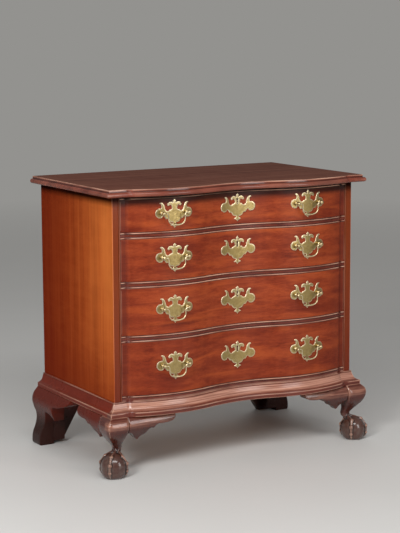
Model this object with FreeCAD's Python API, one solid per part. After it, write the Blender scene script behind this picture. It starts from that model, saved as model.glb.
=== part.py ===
"""Oxbow-front chest of four graduated drawers on ball-and-claw and bracket feet.

Millimetres, +X to the chest's left-to-right as seen from the front, +Y to the back, +Z up.
The origin is on the floor, midway across the width and midway through the overall depth.
Sizes along the front are given as "proud": the distance forward of the flat corner strips.
"""
import FreeCAD
import Part
import math
import os

V = FreeCAD.Vector
UP = V(0, 0, 1)

# ---- Case ---------------------------------------------------------------------------------
OPENING_WIDTH = 786.0
OPENING_HEIGHTS = (96.0, 126.0, 140.5, 160.0)   # from the top drawer down
SIDE_THICKNESS = 24.0
CASE_DEPTH = 479.0
DIVIDER_THICKNESS = 17.5
DIVIDER_DEPTH = 72.0
TOP_RAIL_THICKNESS = 10.0
BASE_REVEAL = 14.0          # bottom rail showing above the base moulding
BOTTOM_THICKNESS = 18.0
BACK_THICKNESS = 13.0
BACK_LAP = 12.0             # width of the rabbet that takes the back boards
BACK_BOARD_COUNT = 3
TONGUE_LENGTH = 9.0         # dovetailed tongue of a divider in the case side
TONGUE_SET_BACK = 8.0
RUNNER_WIDTH = 30.0
RUNNER_HOUSING = 4.0
STOP_LENGTH = 26.0
STOP_HEIGHT = 12.0
STOP_SPACE = 20.0           # between a drawer's back and the back boards
STOP_GAP = 0.5

# ---- Plan of the front --------------------------------------------------------------------
CREST_X = 220.0             # middle of the chest to the crest of each swell
SWELL = 33.0                # how proud the crests stand
HOLLOW = 2.0                # how proud the middle stands
CREST_RADIUS = 358.0        # of the swell on its inner side
BLOCK_WIDTH = 18.0          # flat strip at each end of a drawer front
BLOCK_RISE = 6.0            # step up from the flat strip to the swell
BLOCK_RUN = 5.0

# ---- Beads, top board and base moulding -----------------------------------------------------
BEAD_WIDTH = 3.6            # half-round beads round each drawer
TOP_THICKNESS = 22.0
TOP_SIDE_OVERHANG = 31.5
TOP_FRONT_OVERHANG = 36.0
TOP_BACK_OVERHANG = 9.0
LIP_SET_BACK = 8.5          # the top's upper lip stands this far behind its nose
LIP_ARRIS = 2.0
LIP_HEIGHT = 5.5
QUIRK = 2.5                 # drop from the lip to the nose
NOSE_SET_BACK = 5.0
MOULDING_HEIGHT = 42.0
MOULDING_PROUD = 24.0
MOULDING_BEAD = 5.0
MOULDING_CURVE = 9.0        # radius of its cove, and of the ovolo below
MOULDING_FILLET = 1.6       # sloping step between the ovolo and the fascia
MOULDING_SHELF = 46.0       # how far it reaches in under the case
CASE_LAP = 22.0             # how far the case stands down behind the moulding
GLUE_LINE = 0.2             # between the moulding's back and the case
FLATS = 3                   # straight facets that draw each round of a section
BEAD_FLAT_COUNT = 2

# ---- Feet ---------------------------------------------------------------------------------
FOOT_HEIGHT = 177.0
BALL_RADIUS = 36.0
BALL_CENTRE_HEIGHT = 31.0
BALL_OUT = 11.0             # ball's centre beyond the case's corner, both ways
KNEE_OUT = 41.0
LEG_INSIDE = 30.0           # flat inner faces of the leg, behind the case's corner
ANKLE_WIDTH = 29.0
ANKLE_INSIDE = 8.0          # ankle's centre behind the case's corner
CLAW_WIDTH = 9.0            # across a claw's crest
CLAW_ROOT = 16.0            # across a claw where it meets the ball
CLAW_PROUD = 6.5            # claws stand this far off the ball
BRACKET_REACH = 187.0       # knee bracket's wing from the case's corner
BRACKET_BULGE = 35.0
BRACKET_FLOOR = 105.0       # height of its cusp
REAR_REACH = 236.0          # rear bracket's wing from the case's back
REAR_BULGE = 45.0
REAR_WAIST = 31.0
REAR_PAD = 47.0
BACK_BRACKET_THICKNESS = 22.0
GLUE_BLOCK = 38.0

# ---- Drawers ------------------------------------------------------------------------------
FRONT_GAP = 1.0             # all round a drawer front in its opening
FRONT_THICKNESS = 20.0      # at its flat ends
DRAWER_WALL = 12.0
RUNNING_GAP = 0.3
SIDE_DROP = 6.0             # drawer sides are lower than the opening
TAIL_PITCH = 44.0
TAIL_FLARE = 2.0
BOTTOM_BOARD = 7.0
BOTTOM_GROOVE = 5.0
BOTTOM_RISE = 10.0

# ---- Brasses and locks ----------------------------------------------------------------------
PULL_X = 232.0
PULL_RISE = 5.0             # post line above the middle of the opening
POST_SPACING = 82.5
PLATE_THICKNESS = 1.6
PLATE_BENDS = (10.0, 31.0, 62.0)    # where a plate is bent to the front, from its middle
PLATE_LIFT = 0.4                    # its bends stand this far off the swell
PLATE_HALF_WIDTH = 60.0
PLATE_RISE = 40.5           # its upper finial above the post line
SHANK_WIDTH = 4.4
SHANK_TAIL = 7.0
COLLAR_RADIUS = 6.6
NECK_RADIUS = 3.4
HEAD_RADIUS = 5.6
HEAD_LENGTH = 9.0
PIVOT_OUT = 13.5            # bail's axis forward of the plate
PIN_RADIUS = 1.5
PIN_GAP = 0.3
BAIL_DROP = 33.5
BAIL_HALF_WIDTH = 28.0
BAIL_THICKNESS = 3.6
BAIL_MIDDLE = 5.2
POST_FLATS = 6              # facets round a post
BAIL_FLATS = 6              # facets round a bail
KEYHOLE_RISE = 22.5
KEYHOLE_RADIUS = 2.7
KEYHOLE_LENGTH = 14.0
LOCK_WIDTH = 56.0
LOCK_DEPTH = 12.0
LOCK_BELOW_KEY = 16.0
LOCK_PLATE = 1.5
LOCK_PLATE_LAP = 7.0
BOLT_WIDTH = 20.0
BOLT_THICKNESS = 6.0
BOLT_LENGTH = 26.0
BOLT_TRAVEL = 6.0
BOLT_GAP = 0.4

# ---- Worked out from the sizes above --------------------------------------------------------
HALF_OPENING = OPENING_WIDTH / 2
HALF_CASE = HALF_OPENING + SIDE_THICKNESS
OVERALL_DEPTH = SWELL + TOP_FRONT_OVERHANG + CASE_DEPTH + TOP_BACK_OVERHANG
Y_FRONT = SWELL + TOP_FRONT_OVERHANG - OVERALL_DEPTH / 2
Y_BACK = Y_FRONT + CASE_DEPTH
Z_MOULDING_TOP = FOOT_HEIGHT + MOULDING_HEIGHT
Z_CASE = Z_MOULDING_TOP - CASE_LAP
Z_FIRST = Z_MOULDING_TOP + BASE_REVEAL
Z_TOP_UNDER = Z_FIRST + sum(OPENING_HEIGHTS) + 3 * DIVIDER_THICKNESS + TOP_RAIL_THICKNESS
HEIGHT = Z_TOP_UNDER + TOP_THICKNESS
Y_BOARDS = Y_BACK - BACK_THICKNESS
Y_DRAWER_REAR = Y_BOARDS - STOP_SPACE

TURN = 2 * math.atan2(SWELL - HOLLOW, CREST_X)
HOLLOW_RADIUS = CREST_X / math.sin(TURN) - CREST_RADIUS
BLOCK_X = HALF_OPENING - BLOCK_WIDTH
SWELL_RUN = BLOCK_X - BLOCK_RUN - CREST_X
SWELL_DROP = SWELL - BLOCK_RISE
OUTER_RADIUS = (SWELL_RUN ** 2 + SWELL_DROP ** 2) / (2 * SWELL_DROP)
OUTER_TURN = math.asin(SWELL_RUN / OUTER_RADIUS)
OUTER_CENTRE = V(CREST_X, Y_FRONT - SWELL + OUTER_RADIUS, 0)
INNER_CENTRE = V(CREST_X, Y_FRONT - SWELL + CREST_RADIUS, 0)
HOLLOW_CENTRE = V(0, Y_FRONT - HOLLOW - HOLLOW_RADIUS, 0)


# ---- Small tools ----------------------------------------------------------------------------
def box(low, high):
    """A block between two opposite corners."""
    size = V(*high) - V(*low)
    return Part.makeBox(size.x, size.y, size.z, V(*low))


def union(shapes):
    """One solid from pieces that meet, with no seam left in a shared face."""
    return shapes[0].multiFuse(shapes[1:]).removeSplitter()


def group(shapes):
    """Separate solids kept in one node."""
    return Part.makeCompound([solid for shape in shapes for solid in shape.Solids])


def mirrored(shape):
    """The same piece on the other side of the chest."""
    return shape.mirror(V(0, 0, 0), V(1, 0, 0))


def moved(shape, x=0.0, y=0.0, z=0.0):
    """A copy in another place."""
    return shape.translated(V(x, y, z))


def edges(place, start, moves):
    """Edges through a list of moves: a point is a line to it, a pair of points is an arc."""
    drawn = []
    here = start
    for move in moves:
        if isinstance(move[0], tuple):
            drawn.append(Part.Arc(place(*here), place(*move[0]), place(*move[1])).toShape())
            here = move[1]
        else:
            drawn.append(Part.makeLine(place(*here), place(*move)))
            here = move
    return drawn


def closed_face(place, start, moves):
    """A face inside the moves, closed with a line back to the start."""
    drawn = edges(place, start, moves)
    drawn += edges(place, moves[-1][-1] if isinstance(moves[-1][0], tuple) else moves[-1], [start])
    return Part.Face(Part.Wire(drawn))


def polygon(place, points):
    """A flat face with straight edges."""
    return closed_face(place, points[0], points[1:])


def fitted(points, width, height):
    """An outline stretched to reach the width and the height from zero."""
    across_by = width / max(point[0] for point in points)
    up_by = height / max(point[1] for point in points)
    return [(a * across_by, b * up_by) for a, b in points]


def rounding(centre, radius, start, end, flats=FLATS):
    """Points of an arc drawn with flats, between two angles in degrees."""
    angles = [math.radians(start + (end - start) * step / flats) for step in range(flats + 1)]
    return [(centre[0] + radius * math.cos(angle), centre[1] + radius * math.sin(angle)) for angle in angles]


def skin(rings):
    """A solid through rings of equally many points, with triangles between one ring and the next."""
    faces = []
    for lower, upper in zip(rings, rings[1:]):
        for index, corner in enumerate(lower):
            after = (index + 1) % len(lower)
            faces.append([corner, lower[after], upper[after]])
            faces.append([corner, upper[after], upper[index]])
    faces += [rings[0], rings[-1]]
    shell = Part.Shell([Part.Face(Part.makePolygon(face + face[:1])) for face in faces])
    solid = Part.Solid(shell)
    if solid.Volume < 0:
        solid.reverse()
    return solid


def across(out, up):
    """A point of a section that faces the front: outwards and up."""
    return V(0, -out, up)


def sideways(out, up):
    """A point of a section that faces the right side."""
    return V(out, 0, up)


def elevation(x, z):
    """A point of a front view."""
    return V(x, 0, z)


def side_view(y, z):
    """A point of a side view."""
    return V(0, y, z)


def plan(x, y):
    """A point of a view from above."""
    return V(x, y, 0)


# ---- The curved front -------------------------------------------------------------------------
def turned(centre, radius, angle):
    """A point on an arc of the plan, turned from straight ahead towards +X."""
    return V(centre.x + radius * math.sin(angle), centre.y - radius * math.cos(angle), 0)


def half_front(half_width, out):
    """Points and arc middles of the right half of the plan, from the end to the middle."""
    outer, inner = OUTER_RADIUS + out, CREST_RADIUS + out
    end = V(half_width, Y_FRONT - out, 0)
    block = V(BLOCK_X, Y_FRONT - out, 0)
    step = turned(OUTER_CENTRE, outer, OUTER_TURN)
    step_middle = turned(OUTER_CENTRE, outer, OUTER_TURN / 2)
    crest = turned(OUTER_CENTRE, outer, 0)
    inner_middle = turned(INNER_CENTRE, inner, -TURN / 2)
    bend = turned(INNER_CENTRE, inner, -TURN)
    return [end, block, step, step_middle, crest, inner_middle, bend]


def front_slab(half_width, y_back, z_low, z_high, out=0.0):
    """Everything between the curved front, moved outwards by out, and a flat back."""
    right = half_front(half_width, out)
    left = [V(-point.x, point.y, 0) for point in right]
    drawn = []
    for side in (right, left):
        end, block, step, step_middle, crest, inner_middle, bend = side
        drawn.append(Part.makeLine(end, block))
        drawn.append(Part.makeLine(block, step))
        drawn.append(Part.Arc(step, step_middle, crest).toShape())
        drawn.append(Part.Arc(crest, inner_middle, bend).toShape())
        drawn.append(Part.makeLine(V(end.x, y_back, 0), end))
    drawn.append(Part.Arc(right[-1], V(0, Y_FRONT - HOLLOW - out, 0), left[-1]).toShape())
    drawn.append(Part.makeLine(V(-half_width, y_back, 0), V(half_width, y_back, 0)))
    face = Part.Face(Part.Wire(Part.__sortEdges__(drawn)))
    return moved(face, z=z_low).extrude(V(0, 0, z_high - z_low))


def swell_side():
    """The space on the swell's side of the line where mouldings meet the flat ends."""
    reach = 200.0
    lean = math.tan(OUTER_TURN / 2) * reach
    x = BLOCK_X - BLOCK_RUN / 2
    corners = [(-1, Y_FRONT + reach), (x - lean, Y_FRONT + reach),
               (x + lean, Y_FRONT - reach), (-1, Y_FRONT - reach)]
    return polygon(plan, corners).extrude(UP * (HEIGHT + 1))


def half_run(section, half_width):
    """A section carried along the right half of the front, as separate lengths."""
    beyond = 6.0
    at_hollow = moved(section, y=Y_FRONT - HOLLOW)
    at_crest = moved(section, x=CREST_X, y=Y_FRONT - SWELL)
    flat = moved(section, x=BLOCK_X - 4 * BLOCK_RUN, y=Y_FRONT)
    side = swell_side()
    return [at_hollow.revolve(HOLLOW_CENTRE, UP, -math.degrees(TURN)),
            at_crest.revolve(INNER_CENTRE, UP, -math.degrees(TURN)),
            at_crest.revolve(OUTER_CENTRE, UP, math.degrees(OUTER_TURN) + beyond).common(side),
            flat.extrude(V(half_width - BLOCK_X + 4 * BLOCK_RUN, 0, 0)).cut(side)]


def run_along_front(section, half_width):
    """A moulding that follows the whole front."""
    right = union(half_run(section, half_width))
    return union([right, mirrored(right)])


def bead_section(place, z_low):
    """A scratched bead, with a little behind it to join to the wood."""
    radius = BEAD_WIDTH / 2
    round_edge = rounding((0, z_low + radius), radius, -90, 90, BEAD_FLAT_COUNT)
    return polygon(place, [(-1, z_low)] + round_edge + [(-1, z_low + BEAD_WIDTH)])


# ---- Levels of the openings ---------------------------------------------------------------------
def opening_levels():
    """Bottom and top of each opening, from the top drawer down."""
    levels = []
    z = Z_FIRST
    for height in reversed(OPENING_HEIGHTS):
        levels.insert(0, (z, z + height))
        z += height + DIVIDER_THICKNESS
    return levels


# ---- Case ---------------------------------------------------------------------------------------
def tongue(z_low, thickness):
    """Dovetailed tongue at the right end of a rail or divider."""
    inset = thickness / 5
    flare = thickness / 12
    x = HALF_OPENING
    corners = [(x - 1, z_low + inset), (x, z_low + inset), (x + TONGUE_LENGTH, z_low + inset - flare),
               (x + TONGUE_LENGTH, z_low + thickness - inset + flare),
               (x, z_low + thickness - inset), (x - 1, z_low + thickness - inset)]
    face = moved(polygon(elevation, corners), y=Y_FRONT + TONGUE_SET_BACK)
    return face.extrude(V(0, DIVIDER_DEPTH - TONGUE_SET_BACK, 0))


def bolt_mortise(z):
    """Hole that takes a lock's bolt, upwards from z."""
    y = Y_FRONT + FRONT_THICKNESS - LOCK_DEPTH / 2
    half = BOLT_WIDTH / 2 + 2
    depth = BOLT_THICKNESS / 2 + 1
    return box((-half, y - depth, z - 5), (half, y + depth, z + BOLT_TRAVEL + 1.5))


def rail(z_low, thickness, beads, mortised):
    """A front rail that follows the plan, with beads on the edges that face an opening."""
    body = front_slab(HALF_OPENING, Y_FRONT + DIVIDER_DEPTH, z_low, z_low + thickness)
    right = tongue(z_low, thickness)
    pieces = [body, right, mirrored(right)]
    for z in beads:
        pieces.append(run_along_front(bead_section(across, z), HALF_OPENING))
    made = union(pieces)
    return made.cut(bolt_mortise(z_low)) if mortised else made


def dividers():
    """The three dividers between the drawers, from the top one down."""
    made = []
    for low, high in opening_levels()[1:]:
        beads = (high, high + DIVIDER_THICKNESS - BEAD_WIDTH)
        made.append(rail(high, DIVIDER_THICKNESS, beads, True))
    return made


def top_rails():
    """The thin front rail under the top board, and the plain one at the back."""
    z = Z_TOP_UNDER - TOP_RAIL_THICKNESS
    front = rail(z, TOP_RAIL_THICKNESS, (z,), True)
    back = box((-HALF_OPENING, Y_BOARDS - DIVIDER_DEPTH, z), (HALF_OPENING, Y_BOARDS, Z_TOP_UNDER))
    return group([front, back])


def rail_bottom():
    """The rail under the lowest drawer, on the case's bottom board."""
    z = Z_CASE + BOTTOM_THICKNESS
    return rail(z, Z_FIRST - z, (Z_FIRST - BEAD_WIDTH,), False)


def runner(z_low, thickness):
    """Right-hand runner behind a divider, housed in the case side."""
    return box((HALF_OPENING - RUNNER_WIDTH, Y_FRONT + DIVIDER_DEPTH, z_low),
               (HALF_OPENING + RUNNER_HOUSING, Y_BOARDS, z_low + thickness))


def runners_right():
    """All runners of the right side, from the top drawer down."""
    made = [runner(low - DIVIDER_THICKNESS, DIVIDER_THICKNESS) for low, high in opening_levels()[:-1]]
    z = Z_CASE + BOTTOM_THICKNESS
    made.append(runner(z, Z_FIRST - z))
    return made


def drawer_runners():
    """Runners of both sides."""
    right = runners_right()
    return group(right + [mirrored(piece) for piece in right])


def drawer_stops():
    """Blocks on the runners, which stop each drawer flush with the front."""
    right = []
    y = Y_DRAWER_REAR + STOP_GAP
    for low, high in opening_levels():
        right.append(box((HALF_OPENING - STOP_LENGTH, y, low), (HALF_OPENING, Y_BOARDS, low + STOP_HEIGHT)))
    return group(right + [mirrored(piece) for piece in right])


def case_bottom():
    """Bottom board, housed in the sides."""
    return box((-HALF_OPENING - TONGUE_LENGTH, Y_FRONT + TONGUE_SET_BACK, Z_CASE),
               (HALF_OPENING + TONGUE_LENGTH, Y_BOARDS, Z_CASE + BOTTOM_THICKNESS))


def side_right():
    """Right case side: beaded front edge, housings inside, a rabbet for the back boards."""
    board = box((HALF_OPENING, Y_FRONT, Z_CASE), (HALF_CASE, Y_BACK, Z_TOP_UNDER))
    radius = BEAD_WIDTH / 2
    bead = polygon(plan, [(0, 1)] + rounding((radius, 0), radius, 180, 360, BEAD_FLAT_COUNT) + [(BEAD_WIDTH, 1)])
    top = Z_TOP_UNDER - TOP_RAIL_THICKNESS
    bead = moved(bead, x=HALF_OPENING, y=Y_FRONT, z=Z_FIRST).extrude(UP * (top - Z_FIRST))
    quirk = [(BEAD_WIDTH, 0.1), (BEAD_WIDTH, -0.1), (BEAD_WIDTH + 1.4, -0.1), (BEAD_WIDTH + 0.7, 0.9)]
    groove = moved(polygon(plan, quirk), x=HALF_OPENING, y=Y_FRONT, z=Z_FIRST).extrude(UP * (top - Z_FIRST))
    made = union([board, bead]).cut(groove)
    made = made.cut(box((HALF_OPENING - 1, Y_BOARDS, Z_CASE - 1),
                        (HALF_OPENING + BACK_LAP, Y_BACK + 1, Z_TOP_UNDER + 1)))
    z = Z_CASE + BOTTOM_THICKNESS
    housings = [tongue(low - DIVIDER_THICKNESS, DIVIDER_THICKNESS) for low, high in opening_levels()[:-1]]
    housings.append(tongue(Z_TOP_UNDER - TOP_RAIL_THICKNESS, TOP_RAIL_THICKNESS))
    housings.append(tongue(z, Z_FIRST - z))
    housings += runners_right()
    housings.append(case_bottom())
    return made.cut(Part.makeCompound(housings))


def back_boards():
    """Horizontal boards, half-lapped to each other, nailed into the rabbets."""
    step = (Z_TOP_UNDER - Z_CASE) / BACK_BOARD_COUNT
    half = HALF_OPENING + BACK_LAP
    lap = BACK_THICKNESS / 2
    boards = []
    for index in range(BACK_BOARD_COUNT):
        low = Z_CASE + index * step
        front = box((-half, Y_BOARDS, low), (half, Y_BOARDS + lap, low + step))
        rear_low = low if index == 0 else low - lap
        rear_high = low + step if index == BACK_BOARD_COUNT - 1 else low + step - lap
        rear = box((-half, Y_BOARDS + lap, rear_low), (half, Y_BACK, rear_high))
        boards.append(union([front, rear]))
    return group(boards)


# ---- Top board and base moulding ----------------------------------------------------------------
def top_cutter(place, reach):
    """What is planed away outside the top's moulded edge; zero is at the nose."""
    lip = -LIP_SET_BACK
    quirk = HEIGHT - LIP_HEIGHT - QUIRK
    radius = (quirk - Z_TOP_UNDER) / 2
    turn = 65
    reach_back = radius * math.cos(math.radians(turn / FLATS))
    nose = rounding((-reach_back, Z_TOP_UNDER + radius), radius, turn, -turn)
    points = [(lip - LIP_ARRIS, HEIGHT), (lip, HEIGHT - LIP_ARRIS), (lip, HEIGHT - LIP_HEIGHT)] + nose
    points += [(-NOSE_SET_BACK - 1, Z_TOP_UNDER), (-NOSE_SET_BACK - 1, Z_TOP_UNDER - 1),
               (reach, Z_TOP_UNDER - 1), (reach, HEIGHT + 1), (lip - LIP_ARRIS, HEIGHT + 1)]
    return polygon(place, points)


def top_board():
    """One wide board; its front follows the plan, and three edges are moulded."""
    half = HALF_CASE + TOP_SIDE_OVERHANG
    y_nose = Y_FRONT - SWELL - TOP_FRONT_OVERHANG
    y_back = Y_BACK + TOP_BACK_OVERHANG
    made = box((-half, y_nose, Z_TOP_UNDER), (half, y_back, HEIGHT))
    section = moved(top_cutter(across, SWELL + 10), y=-TOP_FRONT_OVERHANG)
    for piece in half_run(section, half + 10):
        made = made.cut(piece)
        made = made.cut(mirrored(piece))
    side = moved(top_cutter(sideways, 10), x=half, y=y_nose - 20)
    side = side.extrude(V(0, y_back - y_nose + 40, 0))
    return made.cut(side).cut(mirrored(side))


def moulding_section(place):
    """Bead, cove, ovolo and fascia; zero is the face of the case."""
    radius = MOULDING_CURVE
    edge = MOULDING_PROUD - MOULDING_FILLET
    start = edge - 2 * radius
    z_cove = Z_MOULDING_TOP - MOULDING_BEAD
    z_ovolo = z_cove - 2 * radius
    points = [(0, Z_MOULDING_TOP), (start - MOULDING_BEAD / 2, Z_MOULDING_TOP),
              (start, Z_MOULDING_TOP - MOULDING_BEAD / 2)]
    points += rounding((start + radius, z_cove), radius, 180, 270)
    points += rounding((edge - radius, z_ovolo), radius, 90, 0)[1:]
    points += [(MOULDING_PROUD, z_ovolo - MOULDING_FILLET), (MOULDING_PROUD, FOOT_HEIGHT), (0, FOOT_HEIGHT)]
    return polygon(place, points)


def front_mitre():
    """The space in front of the mitre line at the right corner of the case."""
    reach = 120.0
    corners = [(HALF_CASE + reach, Y_FRONT - reach), (-HALF_CASE - reach, Y_FRONT - reach),
               (-HALF_CASE - reach, Y_FRONT + reach), (HALF_CASE - reach, Y_FRONT + reach)]
    return polygon(plan, corners).extrude(UP * HEIGHT)


def base_moulding_front():
    """Front length, mitred at both corners, with the shelf behind it that carries the case."""
    halves = half_run(moulding_section(across), HALF_CASE + MOULDING_PROUD)
    halves[-1] = halves[-1].common(front_mitre())
    y_back = Y_FRONT + MOULDING_SHELF
    shelf = front_slab(HALF_CASE, y_back, FOOT_HEIGHT, Z_CASE)
    seat = front_slab(HALF_CASE, y_back, Z_CASE, Z_MOULDING_TOP + 1, GLUE_LINE)
    right = union(halves)
    corner = front_mitre()
    whole = union([right, mirrored(right), shelf.common(corner).common(mirrored(corner))])
    return whole.cut(seat)


def base_moulding_right():
    """Right-hand length and its shelf, from the mitre to the back of the case."""
    start = Y_FRONT - MOULDING_PROUD
    section = moved(moulding_section(sideways), x=HALF_CASE, y=start)
    length = section.extrude(V(0, Y_BACK - start, 0))
    shelf = box((HALF_CASE - MOULDING_SHELF, start, FOOT_HEIGHT), (HALF_CASE, Y_BACK, Z_CASE))
    return union([length, shelf]).cut(front_mitre())


# ---- Front feet -----------------------------------------------------------------------------------
def leg_ring(z, out, inside, radius, inner_radius):
    """Level section of the leg: a square with rounded corners, measured from the case's corner."""
    middle = V((out - inside) / 2, (out - inside) / 2, z)
    half = (out + inside) / 2
    ring = []
    for quarter in range(4):
        rounded = inner_radius if quarter else radius
        arc = rounding((half - rounded, half - rounded), rounded, 0, 90)
        corner = [(half, arc[0][1] / 2)] + arc + [(arc[-1][0] / 2, half)]
        turn = FreeCAD.Rotation(UP, 90 * quarter)
        ring += [middle + turn.multVec(V(x, y, 0)) for x, y in corner]
    return ring


def claw_ring(z, proud):
    """Level section of the ball, with four claws that stand proud of it on the diagonals."""
    ball = math.sqrt(BALL_RADIUS ** 2 - (z - BALL_CENTRE_HEIGHT) ** 2)
    crest = math.degrees(math.asin(CLAW_WIDTH / 2 / (ball + proud)))
    root = math.degrees(math.asin(min(CLAW_ROOT / 2 / ball, 0.5)))
    crest = min(crest, root * 0.6)
    web = (45 + root) / 2
    ring = []
    for quarter in range(4):
        for offset, radius in ((-web, ball), (-root, ball), (-crest, ball + proud),
                               (crest, ball + proud), (root, ball), (web, ball)):
            angle = math.radians(45 + 90 * quarter + offset)
            ring.append(V(BALL_OUT + radius * math.cos(angle), BALL_OUT + radius * math.sin(angle), z))
    return ring


def foot_rings():
    """Sections of a front foot from the moulding down to the floor."""
    ankle = ANKLE_WIDTH / 2
    top = FOOT_HEIGHT
    rings = [leg_ring(top, KNEE_OUT - 15, LEG_INSIDE, 8, 2),
             leg_ring(top - 18, KNEE_OUT - 4, LEG_INSIDE, 10, 2),
             leg_ring(top - 38, KNEE_OUT, LEG_INSIDE, 13, 3),
             leg_ring(top - 48, KNEE_OUT - 2, LEG_INSIDE, 13, 4),
             leg_ring(top - 60, KNEE_OUT - 9, LEG_INSIDE - 3, 13, 7),
             leg_ring(top - 76, KNEE_OUT - 24, LEG_INSIDE - 8, 12, 10),
             leg_ring(top - 91, ankle - ANKLE_INSIDE, ankle + ANKLE_INSIDE, ankle - 2, ankle - 3),
             leg_ring(top - 105, ankle + 1, ankle + 2, ankle - 1, ankle - 1)]
    centre = BALL_CENTRE_HEIGHT
    for height, share in ((30, 1.3), (22, 1.1), (13, 0.8), (6, 1.1), (-3, 0.75), (-10, 1.0), (-19, 0.95), (-26, 0.4)):
        rings.append(claw_ring(centre + height, CLAW_PROUD * share))
    rings.append(claw_ring(0, 0))
    return rings


def foot_front_right():
    """Ball, four claws and cabriole leg, carved from one block."""
    shape = skin(foot_rings()).mirror(V(0, 0, 0), V(0, 1, 0))
    return moved(shape, x=HALF_CASE, y=Y_FRONT)


def bracket_outline(place):
    """Scrolled knee bracket: zero is at the case's corner, with its wing towards the middle."""
    wing = [(0, 24), (12, 22), (24, 15), (33, 0), (50, 9), (58, 16), (69, 31), (82, 31), (94, 42), (108, 41),
            (145, 45), (157, 58), (157, 72)]
    scroll = fitted(wing, BRACKET_REACH - LEG_INSIDE, FOOT_HEIGHT - BRACKET_FLOOR)
    return polygon(place, [(LEG_INSIDE, FOOT_HEIGHT)] + [(LEG_INSIDE + a, BRACKET_FLOOR + b) for a, b in scroll])


def bracket_section(place):
    """Bulging section of a knee bracket."""
    back, top, bulge = -6, FOOT_HEIGHT, BRACKET_BULGE
    return polygon(place, [(back, top), (MOULDING_PROUD, top), (bulge - 3, top - 12), (bulge, top - 26),
                           (bulge - 5, top - 44), (bulge - 13, top - 60), (bulge - 15, top - 80), (back, top - 80)])


def knee_brackets_right():
    """The front and side brackets, butted against the flat inner faces of the right leg."""
    width = BRACKET_BULGE * 2
    front = moved(bracket_outline(lambda a, z: V(-a, 0, z)), y=-width).extrude(V(0, width * 2, 0))
    front = front.common(moved(bracket_section(across), x=-BRACKET_REACH - 1).extrude(V(BRACKET_REACH + 1, 0, 0)))
    side = moved(bracket_outline(lambda a, z: V(0, a, z)), x=-width).extrude(V(width * 2, 0, 0))
    side = side.common(bracket_section(sideways).extrude(V(0, BRACKET_REACH + 1, 0)))
    return [moved(piece, x=HALF_CASE, y=Y_FRONT) for piece in (front, side)]


def knee_brackets():
    """Four brackets, two beside each front leg."""
    right = knee_brackets_right()
    return group(right + [mirrored(piece) for piece in right])


# ---- Rear feet ------------------------------------------------------------------------------------
def rear_side_bracket():
    """Ogee bracket of the right rear foot, with its scrolled lower edge and cusp."""
    top = FOOT_HEIGHT
    outline = [(0, 0), (58, 0), (62, 62), (70, 98), (86, 112), (108, 109), (134, 94), (136, 116), (140, 132),
               (156, 141), (172, 143), (204, 153), (228, 160), (236, 166), (236, 177), (0, 177)]
    outline = fitted(outline, REAR_REACH, top)
    blank = moved(polygon(lambda a, z: V(0, -a, z), outline), x=-1).extrude(V(2 * REAR_PAD, 0, 0))
    section = [(0, top), (MOULDING_PROUD, top), (REAR_BULGE - 6, top - 16), (REAR_BULGE, top - 38),
               (REAR_BULGE - 7, top - 64), (REAR_WAIST + 1, top - 80), (REAR_WAIST, top - 96),
               (REAR_WAIST + 4, top - 122), (REAR_PAD - 4, 36), (REAR_PAD, 14), (REAR_PAD - 4, 0), (0, 0)]
    solid = moved(polygon(sideways, section), y=-REAR_REACH - 1).extrude(V(0, REAR_REACH + 2, 0))
    return moved(blank.common(solid), x=HALF_CASE, y=Y_BACK)


def rear_back_bracket():
    """Plain bracket across the back of the right rear foot."""
    outline = [(0, 0), (48, 0), (58, 15), (158, FOOT_HEIGHT), (0, FOOT_HEIGHT)]
    face = polygon(lambda a, z: V(-a, 0, z), outline)
    solid = face.extrude(V(0, BACK_BRACKET_THICKNESS, 0))
    return moved(solid, x=HALF_CASE, y=Y_BACK - BACK_BRACKET_THICKNESS)


def foot_rear_right():
    """Side bracket, back bracket and the glue block in their corner."""
    x, y = HALF_CASE, Y_BACK - BACK_BRACKET_THICKNESS
    block = box((x - GLUE_BLOCK, y - GLUE_BLOCK, 12), (x, y, FOOT_HEIGHT))
    return group([rear_side_bracket(), rear_back_bracket(), block])


# ---- Drawers --------------------------------------------------------------------------------------
class Drawer:
    """Levels and lines of one drawer."""

    def __init__(self, low, high):
        self.low = low + FRONT_GAP
        self.high = high - FRONT_GAP
        self.half = HALF_OPENING - FRONT_GAP
        self.side_low = low + RUNNING_GAP
        self.side_high = high - SIDE_DROP
        self.inner = Y_FRONT + FRONT_THICKNESS
        self.rear = Y_DRAWER_REAR
        self.board = self.side_low + BOTTOM_RISE
        self.post = (low + high) / 2 + PULL_RISE
        self.key = self.post + KEYHOLE_RISE


def tails(drawer, y_root, y_tip):
    """Flared tails at one end of the right-hand drawer side."""
    count = max(2, round((drawer.side_high - drawer.side_low) / TAIL_PITCH))
    pitch = (drawer.side_high - drawer.side_low) / count
    root = pitch * 0.3
    tip = root + TAIL_FLARE
    made = []
    for index in range(count):
        z = drawer.side_low + (index + 0.5) * pitch
        corners = [(y_root, z - root), (y_tip, z - tip), (y_tip, z + tip), (y_root, z + root)]
        face = moved(polygon(side_view, corners), x=drawer.half - DRAWER_WALL)
        made.append(face.extrude(V(DRAWER_WALL, 0, 0)))
    return made


def front_tails(drawer):
    """Tails let half-way into the back of the drawer front."""
    return tails(drawer, drawer.inner, drawer.inner - DRAWER_WALL)


def rear_tails(drawer):
    """Tails through the drawer's back."""
    return tails(drawer, drawer.rear - DRAWER_WALL, drawer.rear)


def drawer_bottom(drawer):
    """Thin board in grooves, nailed up under the drawer's back."""
    half = drawer.half - DRAWER_WALL + BOTTOM_GROOVE
    return box((-half, drawer.inner - BOTTOM_GROOVE, drawer.board),
               (half, drawer.rear, drawer.board + BOTTOM_BOARD))


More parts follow.
